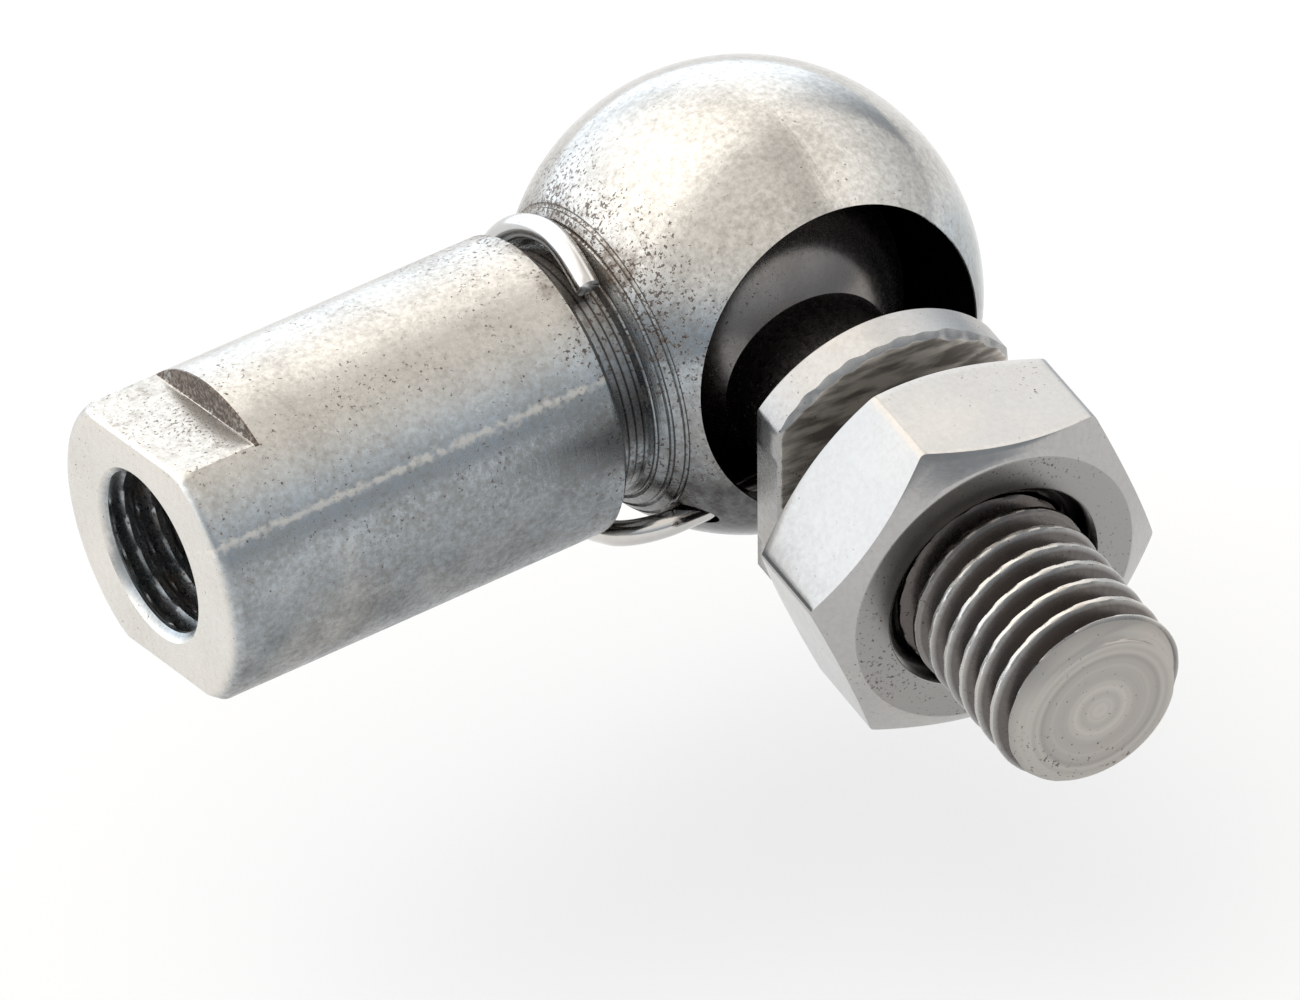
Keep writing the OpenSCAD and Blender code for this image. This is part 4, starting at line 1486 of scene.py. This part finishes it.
@dataclass
class Studio:
    """Pale floor, a soft room that is bright overhead and behind, one side lamp, and the photograph's viewing angle.

    Attributes:
        floor_z: Height of the floor in metres.
        aim_mm: Point that the camera and the lamp face.
        azimuth_deg: Camera's angle round the part.
        elevation_deg: Camera's angle above the floor.
        roll_deg: Camera's turn about its own axis.
        distance_mm: Camera's distance from that point.
        focal_px: Focal length in pixels of the full picture.
        sensor_mm: Width of the camera's sensor.
        floor_half: Half the floor's width in metres.
        floor_colour: Colour of the floor.
        floor_glow: Share of plain white in what the camera sees of the floor.
        room_colour: Colour of the light near the horizon.
        sky_colour: Colour of the light overhead.
        horizon_light: Strength of the light at the horizon.
        overhead_light: Strength of the light overhead.
        back_light: Strength of the light behind.
        back_way: Direction of the light behind.
        rise_span: Heights between which horizon turns to overhead.
        back_span: Nearness to that direction at which the light behind starts and is full.
        sky_span: Heights between which the colour changes.
        gap_way: Direction across the gap between the overhead panels.
        gap_half: Half the gap's width.
        gap_soft: Half the width of the gap's soft edge.
        gap_light: Share of light left in the gap.
        lamp_place: Place of the lamp in metres.
        lamp_size: Side of the lamp in metres.
        lamp_power: Power of the lamp in watts.
        lamp_colour: Colour of the lamp.
    """

    floor_z: float
    aim_mm: tuple[float, float, float] = (27.336, -1.309, -8.131)
    azimuth_deg: float = -28.337
    elevation_deg: float = 30.505
    roll_deg: float = 8.652
    distance_mm: float = 754.818
    focal_px: float = 15147.4
    sensor_mm: float = 36.0
    floor_half: float = 1.5
    floor_colour: str = "#e2e3e4"
    floor_glow: float = 0.55
    room_colour: str = "#e9f1f9"
    sky_colour: str = "#fffaf3"
    horizon_light: float = 0.48
    overhead_light: float = 1.1
    back_light: float = 2.25
    back_way: tuple[float, float, float] = (-0.3, 0.9, 0.3)
    rise_span: tuple[float, float] = (0.05, 0.65)
    back_span: tuple[float, float] = (0.2, 0.6)
    sky_span: tuple[float, float] = (0.2, 0.8)
    gap_way: tuple[float, float, float] = (0.891, -0.03, -0.454)
    gap_half: float = 0.13
    gap_soft: float = 0.03
    gap_light: float = 0.84
    lamp_place: tuple[float, float, float] = (0.56, -0.03, 0.27)
    lamp_size: float = 0.6
    lamp_power: float = 0.5
    lamp_colour: str = "#fff7ee"

    def build(self) -> None:
        """Makes the floor, the room, the lamp and the camera."""
        self._floor()
        self._room()
        self._lamp()
        self._camera()

    def _floor(self) -> None:
        """Lays the floor: pale and matt, and partly white to the rays that see it as a backdrop."""
        reach = self.floor_half
        corners = [(-reach, -reach), (reach, -reach), (reach, reach), (-reach, reach)]
        mesh = bpy.data.meshes.new("floor")
        mesh.from_pydata([(x, y, self.floor_z) for x, y in corners], [], [(0, 1, 2, 3)])
        floor = bpy.data.objects.new("floor", mesh)
        bpy.context.scene.collection.objects.link(floor)
        material = bpy.data.materials.new("pale_floor")
        material.use_nodes = True
        tree = material.node_tree
        tree.nodes.clear()
        path = add(tree, Kind.PATH).node.outputs
        seen, *others = [path[ray.value] for ray in Ray]
        for other in others:
            seen = add(tree, Kind.MATH, (seen, other), operation="MAXIMUM")
        share = add(tree, Kind.MATH, (seen, self.floor_glow), operation="MULTIPLY")
        matt = add(tree, Kind.MATT, {"Color": linear(self.floor_colour)})
        white = add(tree, Kind.GLOW, {"Color": linear("#ffffff"), "Strength": 1.0})
        add(tree, Kind.MATERIAL, {"Surface": add(tree, Kind.BLEND, (share, matt, white))})
        mesh.materials.append(material)
        floor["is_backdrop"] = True

    def _room(self) -> None:
        """Lights the room by direction: from the horizon up, brightest behind, with a gap between overhead panels."""
        world = bpy.data.worlds.new("studio")
        world.use_nodes = True
        tree = world.node_tree
        tree.nodes.clear()
        way = add(tree, Kind.PLACE, out="Generated")
        height = add(tree, Kind.AXES, (way,), "Z")
        rise = (height, *self.rise_span, self.horizon_light, self.overhead_light)
        overhead = add(tree, Kind.RANGE, rise, interpolation_type="SMOOTHSTEP")
        behind = add(tree, Kind.VECTOR, (way, self.back_way), "Value", operation="DOT_PRODUCT")
        back = add(tree, Kind.RANGE, (behind, *self.back_span), interpolation_type="SMOOTHSTEP")
        light = add(tree, Kind.MIX, {0: back, 2: overhead, 3: self.back_light}, data_type="FLOAT")
        side = add(tree, Kind.VECTOR, (way, self.gap_way), "Value", operation="DOT_PRODUCT")
        away = add(tree, Kind.MATH, (side,), operation="ABSOLUTE")
        gap = shifted((-self.gap_soft, self.gap_soft, self.gap_light, 1.0), self.gap_half)
        panels = add(tree, Kind.RANGE, (away, *gap))
        strength = add(tree, Kind.MATH, (light, panels), operation="MULTIPLY")
        high = add(tree, Kind.RANGE, (height, *self.sky_span))
        tints = {0: high, 6: linear(self.room_colour), 7: linear(self.sky_colour)}
        colour = add(tree, Kind.MIX, tints, 2, data_type="RGBA")
        add(tree, Kind.WORLD, {"Surface": add(tree, Kind.SKY, {"Color": colour, "Strength": strength})})
        bpy.context.scene.world = world

    def _lamp(self) -> None:
        """Hangs a square soft lamp at the right, facing the part."""
        lamp = bpy.data.lights.new("lamp_right", "AREA")
        lamp.shape = "SQUARE"
        lamp.size = self.lamp_size
        lamp.energy = self.lamp_power
        lamp.color = linear(self.lamp_colour)[:3]
        hung = bpy.data.objects.new("lamp_right", lamp)
        hung.location = self.lamp_place
        hung.rotation_euler = (Vector(self.aim_mm) * MM - Vector(self.lamp_place)).to_track_quat("-Z", "Y").to_euler()
        bpy.context.scene.collection.objects.link(hung)

    def _camera(self) -> None:
        """Sets up the camera from its viewing angles, its roll and the point it looks at."""
        azimuth, elevation = math.radians(self.azimuth_deg), math.radians(self.elevation_deg)
        back = Vector(
            (
                math.sin(azimuth) * math.cos(elevation),
                -math.cos(azimuth) * math.cos(elevation),
                math.sin(elevation),
            )
        )
        camera = bpy.data.cameras.new("photo_camera")
        camera.sensor_fit = "HORIZONTAL"
        camera.sensor_width = self.sensor_mm
        camera.lens = self.focal_px * self.sensor_mm / IMAGE_WIDTH
        camera.clip_start = 0.01
        stand = bpy.data.objects.new("photo_camera", camera)
        stand.location = (Vector(self.aim_mm) + back * self.distance_mm) * MM
        level = (-back).to_track_quat("-Z", "Y").to_matrix()
        stand.rotation_euler = (level @ Matrix.Rotation(math.radians(-self.roll_deg), 3, "Z")).to_euler()
        bpy.context.scene.collection.objects.link(stand)
        bpy.context.scene.camera = stand


def joint(name: str) -> dict:
    """Gives a joint of the frame by its name."""
    return next(entry for entry in frame["joints"] if entry["name"] == name)


def finish_piece(piece: Piece, body: str, node: str) -> None:
    """Puts a piece on its body, in place of the solid it stands for.

    Args:
        piece: The finished piece.
        body: Body that it moves with.
        node: Solid that it replaces.
    """
    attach(piece, body)
    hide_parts(node)
    log.info("%s stands for %s on %s: %d faces", piece.name, node, body, len(piece.data.polygons))


def main() -> None:
    """Builds and dresses each piece, and sets up the studio with its floor below the solids and the clip's swing."""
    logging.basicConfig(level=logging.INFO, format="%(name)s: %(message)s")
    solid_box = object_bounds()
    ball = np.array(joint("stud_tilt")["pos_m"]) * PER_MM
    axis = np.array(joint("nut_turn")["axis"])
    wire = np.array(joint("clip_swing")["pos_m"]) * PER_MM
    pose = StudPose(ball, axis / np.linalg.norm(axis))
    nut = HexNut(pose)
    stud = BallStud(pose, nut_front=nut.back + nut.height, nut_mouth_r=nut.mouth_r)
    clip = SafetyClip(ball, wire[1], wire[2])
    assemblies = (
        (BallSocket(ball[0], wire[1], wire[2]), "socket", "ball_socket", "socket_steel"),
        (stud, "stud", "ball_stud", "stud_steel"),
        (nut, "nut", "hex_nut", "nut_steel"),
        (clip, "clip", "safety_clip", "clip_wire"),
    )
    for assembly, body, node, slot in assemblies:
        piece = assembly.build()
        assembly.dress(piece)
        finish_piece(piece, body, node)
    Studio(floor_z=min(solid_box[0][2], clip.lowest() * MM)).build()
    bpy.context.scene.view_settings.view_transform = "Standard"


if __name__ == "__main__":
    main()
